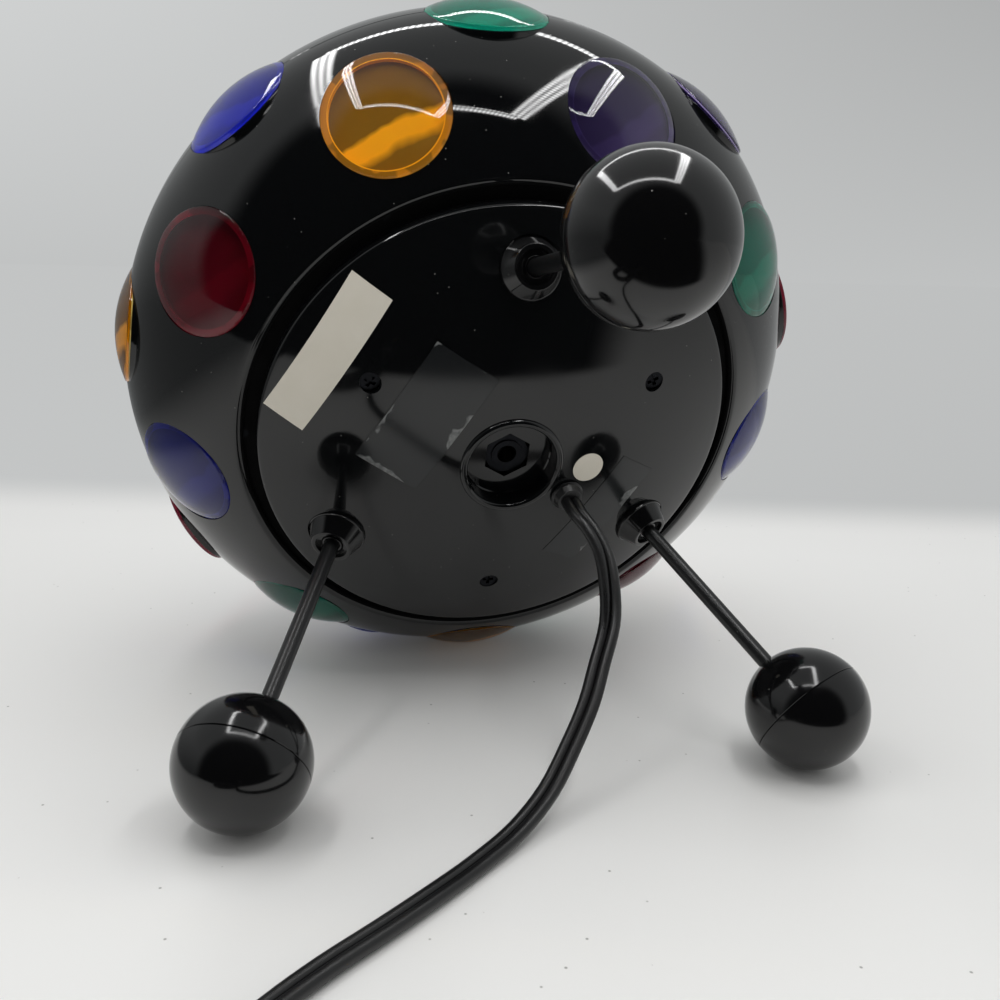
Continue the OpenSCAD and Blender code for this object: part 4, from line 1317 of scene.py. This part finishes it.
@dataclass
class Shell:
    """The turning shell: a lower half with the mouth and an upper half with the crown."""

    wall: float = 2.4
    mouth: float = 65.3
    lip: float = 1.6
    shelf: float = -35.5
    flange_thick: float = 1.8
    flange: float = 61.7
    seam: float = 0.22
    steps: int = 240
    seat_steps: int = 96

    def lower_profile(self) -> Points:
        """Profile of the lower half: skin, rolled lip, inward flange and inner face.

        Returns:
            Radius and height of each point.
        """
        lip_u = SKIN.low_angle(self.mouth + 1.5 * self.lip)
        normal = SKIN.normal(lip_u)
        r, z = SKIN.point(lip_u)
        out = radians(normal)
        lip = circle(r - self.lip * cos(out), z - self.lip * sin(out), self.lip, normal, -180, 14)[1:]
        under = self.shelf - self.flange_thick
        inner = -degrees(asin(-self.shelf / (SKIN.low - self.wall)))
        return [(SKIN.radius - self.seam, 0.0), *SKIN.arc(-self.seam, lip_u, 1.0), *lip,
                (lip[-1][0], under), (self.flange, under), (self.flange, self.shelf),
                *SKIN.arc(inner, -0.001, 3.0, self.wall)]

    def upper_profile(self) -> Points:
        """Profile of the upper half: skin and inner face."""
        return [(SKIN.radius - self.seam, 0.0), *SKIN.arc(self.seam, 90.0, 1.0),
                *SKIN.arc(90.0, 0.0, 3.0, self.wall)]

    def seats(self, rows: tuple[LensRow, ...], side: int) -> tuple[BMesh, BMesh]:
        """Seat rings that carry the lenses, and the cutters that open the skin for them.

        Args:
            rows: The row on the seam, and then those that lie wholly on this half.
            side: 1 for the upper half, -1 for the lower.

        Returns:
            The rings and the cutters in the upright frame.
        """
        rings, holes = bmesh.new(), bmesh.new()
        ring = LENS.ring()
        for line in rows:
            for place, _ in line.frames():
                rod(holes, LENS.radius + 0.1, ring[0][1] - 3, 4, place, self.seat_steps)
                lathe(rings, ring, self.seat_steps, place)
            if line.row is Row.MID:
                close(rings)
                found = bmesh.ops.bisect_plane(rings, geom=[*rings.verts, *rings.edges, *rings.faces],
                                               plane_co=(0, 0, 0), plane_no=(0, 0, -side), clear_outer=True)
                opened = [e for e in found["geom_cut"] if isinstance(e, BMEdge)]
                bmesh.ops.edgenet_fill(rings, edges=opened)
        return rings, holes

    def half(self, name: str, profile: Points, rows: tuple[LensRow, ...], side: int) -> None:
        """Makes one half of the shell.

        Args:
            name: The piece's name and its solid's.
            profile: Its closed profile.
            rows: The row on the seam, and then those that lie wholly on this half.
            side: 1 for the upper half, -1 for the lower.
        """
        mesh = bmesh.new()
        lathe(mesh, profile, self.steps)
        rings, holes = self.seats(rows, side)
        mesh = cut(mesh, holes)
        join(mesh, rings)
        # Painted shade: faces inside the mouth below the shelf, the lip's inside and the flange, get the
        # darker groove material
        for f in mesh.faces:
            middle = f.calc_center_median()
            within = middle.to_2d().length < self.mouth + 0.45 * self.lip
            f.material_index = int(within and middle.z < self.shelf + 1)
        bmesh.ops.transform(mesh, matrix=LYING, verts=mesh.verts)
        make(f"{name}_moulding", mesh, [SHELL_BLACK, GROOVE_PAINTED_SHADE], BODY_SHELL, "shell_black", name)

    def build(self) -> None:
        """Makes both halves."""
        low, mid, *others = ROWS
        self.half("lower_shell", self.lower_profile(), (mid, low), -1)
        self.half("upper_shell", self.upper_profile(), (mid, *others), 1)


@dataclass
class Leg:
    """One leg: a rod, a collar at the cap and a two-part ball."""

    number: int
    turn: float
    root: float = 49.2
    splay: float = 30.3
    drop: float = 53.5
    rod_radius: float = 2.0
    rod_round: float = 0.3
    fit: float = 0.05
    socket: float = 6.5
    ball: float = 15.25
    seam: float = 0.2
    grip: float = 12.0
    collar: float = 7.5
    collar_high: float = 4.8
    spot: float = 1.0

    def ends(self) -> tuple[Vector, Vector]:
        """Root on the cap and centre of the ball, as radius and height."""
        root = Vector((self.root, SKIN.under(self.root).z))
        return root, Vector((self.root + self.splay, -SKIN.low - self.drop))

    def place(self) -> Matrix:
        """Leg's frame on the upright lamp, with Z from the cap to the ball.

        Returns:
            The frame's place.
        """
        root, foot = self.ends()
        tilt = Matrix.Rotation(atan2(foot.x - root.x, foot.y - root.y), 4, "Y")
        return turned(self.turn) @ Matrix.Translation((root.x, 0, root.y)) @ tilt

    def length(self) -> float:
        """Length from the cap to the ball's centre."""
        root, foot = self.ends()
        return (foot - root).length

    def build(self) -> None:
        """Makes the rod, the collar and both halves of the ball."""
        whole = LYING @ self.place()
        r, trim = self.rod_radius, self.rod_round
        start, end = -self.socket, self.length() - self.ball + self.grip
        mesh = bmesh.new()
        lathe(mesh, [(0, start), (r - trim, start), (r, start + trim), (r, end - trim), (r - trim, end),
                     (0, end)], 48, whole, closed=False)
        make(f"rod_{self.number}", mesh, [LEG_BLACK], BODY_BASE, "leg_black", f"leg_rod_{self.number}")
        self.collar_piece(whole)
        self.ball_piece(whole, -1, "inner")
        self.ball_piece(whole, 1, "outer")

    def collar_piece(self, whole: Matrix) -> None:
        """Makes the collar: a low foot, a cone and a recess round the rod.

        Args:
            whole: The leg's frame as the lamp lies.
        """
        top, out, bore = self.collar_high, self.collar, self.rod_radius + self.fit
        recess, crown = 0.56 * out, 0.7 * out
        mesh = bmesh.new()
        lathe(mesh, [(bore, -self.spot), (out, -self.spot), (out, 0.2), (out - 0.3, 0.2), (crown, top),
                     (recess, top), (recess, top - 1.4), (bore + 0.75, top - 1.4), (bore + 0.55, top - 0.8),
                     (bore, top - 0.8)], 64, whole)
        close(mesh)
        soften(mesh, 0.16)
        make(f"collar_{self.number}", mesh, [COLLAR_BLACK], BODY_BASE, "leg_black",
             f"leg_collar_{self.number}")

    def ball_piece(self, whole: Matrix, side: int, name: str) -> None:
        """Makes one half of the ball with a rounded seam edge.

        Args:
            whole: The leg's frame as the lamp lies.
            side: 1 for the half away from the cap, -1 for the half towards it.
            name: The half's name in its node.
        """
        centre = self.length()
        start = degrees(asin(self.seam / self.ball))
        skin = circle(0.0, centre, self.ball, side * 90, side * start, 40)
        skin[0] = (0.0, centre + side * self.ball)
        edge = [(self.ball - 0.12, centre + side * 0.06), (self.ball - 0.4, centre), (0.0, centre)]
        mesh = bmesh.new()
        lathe(mesh, skin + edge, 96, whole, closed=False)
        make(f"ball_{name}_half_{self.number}", mesh, [BALL_BLACK], BODY_BASE, "ball_black",
             f"ball_{name}_{self.number}")


LEGS = (Leg(1, 150.0), Leg(2, 30.0), Leg(3, 270.0))


@dataclass
class Cap:
    """Standing domed cap with the hub well, the screw recesses, the leg spots and the cord's bush."""

    radius: float = 62.3
    thick: float = 2.6
    well: float = 11.5
    well_depth: float = 5.5
    hub_thick: float = 6.0
    hub_wall: float = 2.4
    bead: float = 1.0
    edge: float = 1.2
    track: float = 59.7
    track_thick: float = 2.8
    track_top: float = -35.9
    hex_flat: float = 11.2
    hex_depth: float = 4.0
    bore: float = 4.1
    screw_at: float = 41.7
    screw_turns: tuple[float, ...] = (90, 210, 330)
    screw_sink: float = 2.4
    screw_head: float = 2.6
    screw_bore: float = 1.6
    post: float = 3.5
    socket_wall: float = 5.5
    socket_top: float = -2.2
    socket_end: float = -8.5
    chassis: float = -30.9
    exit_at: float = 19.0
    exit_turn: float = 31.0
    exit_bore: float = 3.6
    bush_profile: tuple[Pair, ...] = (
        (0.0, -5.0), (3.2, -5.0), (3.5, -4.7), (3.5, 0.0), (4.1, 0.0), (4.35, 0.25), (4.4, 0.6), (4.2, 0.9),
        (3.95, 1.05), (3.8, 1.4), (3.45, 2.5), (3.3, 2.85), (3.0, 3.0), (0.0, 3.0))
    label_along: Pair = (0.506, -0.863)
    label_thick: float = 0.08
    round_label: float = 4.2
    steps: int = 240

    def inner(self, r: float) -> float:
        """Height of the inner face at a radius."""
        return -(SKIN.low - self.thick) * sqrt(1 - (r / (SKIN.radius - self.thick)) ** 2)

    def floor(self) -> float:
        """Height of the well's floor."""
        return self.well_depth - SKIN.low

    def profile(self) -> Points:
        """Closed profile: well, rolled bead, skin, edge, bearing track and inner face.

        Returns:
            Radius and height of each point.
        """
        floor, top = self.floor(), self.floor() + self.hub_thick
        bead_r, hub = self.well + self.bead, self.well + self.hub_wall
        bead = circle(bead_r, SKIN.under(bead_r).z, self.bead, 180, 360, 12)
        edge_r = self.radius - 0.6 * self.edge
        edge_z = SKIN.under(edge_r).z
        within = self.track - self.track_thick
        shelf = self.inner(self.radius - 2)
        skin = SKIN.arc(SKIN.low_angle(self.well + 2 * self.bead), SKIN.low_angle(edge_r), 0.75)
        ends = [SKIN.low_angle(r, self.thick) for r in (within, hub)]
        inside = SKIN.arc(*ends, 3.0, self.thick)
        return [(self.bore, floor), (self.well - 0.3, floor), (self.well, floor - 0.3), *bead, *skin,
                (self.radius - 0.3 * self.edge, edge_z + 0.2 * self.edge),
                (self.radius - 0.08 * self.edge, edge_z + 0.55 * self.edge),
                (self.radius, edge_z + self.edge), (self.radius, shelf), (self.track, shelf),
                (self.track, self.track_top), (within, self.track_top), *inside, (hub, top), (self.bore, top)]

    def screw_places(self) -> list[Matrix]:
        """Frames of the three cap screws at the level of their seats."""
        seat = Matrix.Translation((self.screw_at, 0, SKIN.under(self.screw_at).z + self.screw_sink))
        return [turned(angle) @ seat for angle in self.screw_turns]

    def exit_place(self) -> Matrix:
        """Frame of the cord's bush on the skin."""
        return SKIN.frame(SKIN.low_angle(self.exit_at), self.exit_turn)

    def holes(self) -> BMesh:
        """Cutters for the screws, the legs, the cord and the hexagonal pocket.

        Returns:
            The cutters in the upright frame.
        """
        holes = bmesh.new()
        head, bore, start = self.screw_head, self.screw_bore, -2 * self.screw_sink
        for place in self.screw_places():
            lathe(holes, [(0, start), (head, start), (head, 0), (bore, 0), (bore, 8), (0, 8)], 48, place)
        for leg in LEGS:
            tight, loose = leg.rod_radius + leg.fit, leg.collar + 0.1
            lathe(holes, [(0, -leg.socket), (tight, -leg.socket), (tight, -leg.spot), (loose, -leg.spot),
                          (loose, 4), (0, 4)], 64, leg.place())
        rod(holes, self.exit_bore, -10, 5, self.exit_place(), 48)
        corner = self.hex_flat / 2 / cos(radians(30))
        rod(holes, corner, self.floor() - 0.5, self.floor() + self.hex_depth, Matrix(), 6)
        return holes

    def posts(self) -> BMesh:
        """Posts for the chassis and sockets for the legs, inside the cap.

        Returns:
            The posts and sockets in the upright frame.
        """
        posts = bmesh.new()
        bore, out = self.screw_bore, self.post
        for place in self.screw_places():
            end = self.chassis - place.translation.z
            lathe(posts, [(bore, 0.4), (out, 0.4), (out, end), (bore, end)], 32, place)
        wall, top, end = self.socket_wall, self.socket_top, self.socket_end
        for leg in LEGS:
            tight = leg.rod_radius + leg.fit
            lathe(posts, [(tight, -leg.socket), (tight, top), (wall, top), (wall, end), (0.0, end),
                          (0.0, -leg.socket)], 32, leg.place())
        return posts

    def build(self) -> None:
        """Makes the cap, its bush and its labels."""
        mesh = bmesh.new()
        lathe(mesh, self.profile(), self.steps)
        mesh = cut(mesh, self.holes())
        join(mesh, self.posts())
        bmesh.ops.transform(mesh, matrix=LYING, verts=mesh.verts)
        make("cap_moulding", mesh, [CAP_BLACK], BODY_BASE, "cap_black", "base_cap")
        bush = bmesh.new()
        lathe(bush, self.bush_profile, 64, LYING @ self.exit_place(), closed=False)
        make("bush", bush, [CORD_PVC], BODY_BASE, "cord_black", "cord_bush")
        self.labels()

    def labels(self) -> None:
        """Lays blank labels on the cap: one of paper, two of clear film and a small round one."""
        turn = Matrix.Rotation(atan2(*reversed(self.label_along)), 4, "Z")
        for name, finish, centre, size, lift in (
                ("label_paper", PAPER, (-46.0, -26.0), (39.6, 10.4), 0.14),
                ("label_film_wide", FILM_WIDE, (-22.6, -12.6), FILM_WIDE.size_mm, 0.1),
                ("label_film_small", FILM_SMALL, (27.4, 17.6), FILM_SMALL.size_mm, 0.1)):
            mesh = bmesh.new()
            bmesh.ops.create_grid(mesh, x_segments=24, y_segments=8, size=0.5)
            flat = mesh.loops.layers.uv.new("label")
            for loop in (loop for f in mesh.faces for loop in f.loops):
                loop[flat].uv = loop.vert.co.to_2d() + Vector((0.5, 0.5))
            bmesh.ops.transform(mesh, matrix=turn @ Matrix.Diagonal((*size, 1.0, 1.0)), verts=mesh.verts)
            self.settle(name, finish, mesh, centre, lift)
        mesh = bmesh.new()
        bmesh.ops.create_circle(mesh, cap_ends=True, segments=64, radius=self.round_label)
        self.settle("label_round", PAPER, mesh, (20.9, 1.6), 0.2)

    def settle(self, name: str, finish: Finish, mesh: BMesh, centre: Pair, lift: float) -> None:
        """Lays a flat sheet on the domed cap and gives it thickness.

        Args:
            name: The piece's name.
            finish: Its finish.
            mesh: The flat sheet round the origin, which is freed.
            centre: Its middle on the cap.
            lift: Height of its face off the cap.
        """
        for v in mesh.verts:
            v.co = SKIN.under(v.co.x + centre[0], v.co.y + centre[1], lift)
        bmesh.ops.recalc_face_normals(mesh, faces=mesh.faces)
        bmesh.ops.solidify(mesh, geom=mesh.faces, thickness=self.label_thick)
        bmesh.ops.transform(mesh, matrix=LYING, verts=mesh.verts)
        make(name, mesh, [finish], BODY_BASE, "cap_black")


@dataclass
class KeptSolids:
    """Solids whose shape is right as packed, with the finish that each gets."""

    finishes: dict[str, Finish] = field(default_factory=lambda: {
        "turn_ring": ACETAL, "ring_screws": SCREW_BLACK, "drive_pinion": NYLON, "cap_screws": SCREW_BLACK,
        "hub_nut": SCREW_BLACK, "hub_nipple": SCREW_BLACK, "chassis": SHEET_STEEL, "motor": SHEET_STEEL,
        "lampholder": CERAMIC, "bulb_cap": BRASS, "bulb_glass": OPAL, "terminal_block": BLOCK,
        "lead_wires": WIRE})

    def build(self) -> None:
        """Gives each kept solid its material."""
        for node, finish in self.finishes.items():
            for place in frame["nodes"][node].material_slots:
                place.material = finish.material()
            LOG.info("%s: kept, in %s", node, finish.name)


def main() -> None:
    """Builds the scene: camera and lamps, the cord, and then the lamp's parts in order."""
    logging.basicConfig(level=logging.INFO, format="%(message)s")
    Studio().build()
    MainsLead().build()
    Shell().build()
    LensSet().build()
    Cap().build()
    for leg in LEGS:
        leg.build()
    KeptSolids().build()


if __name__ == "__main__":
    main()
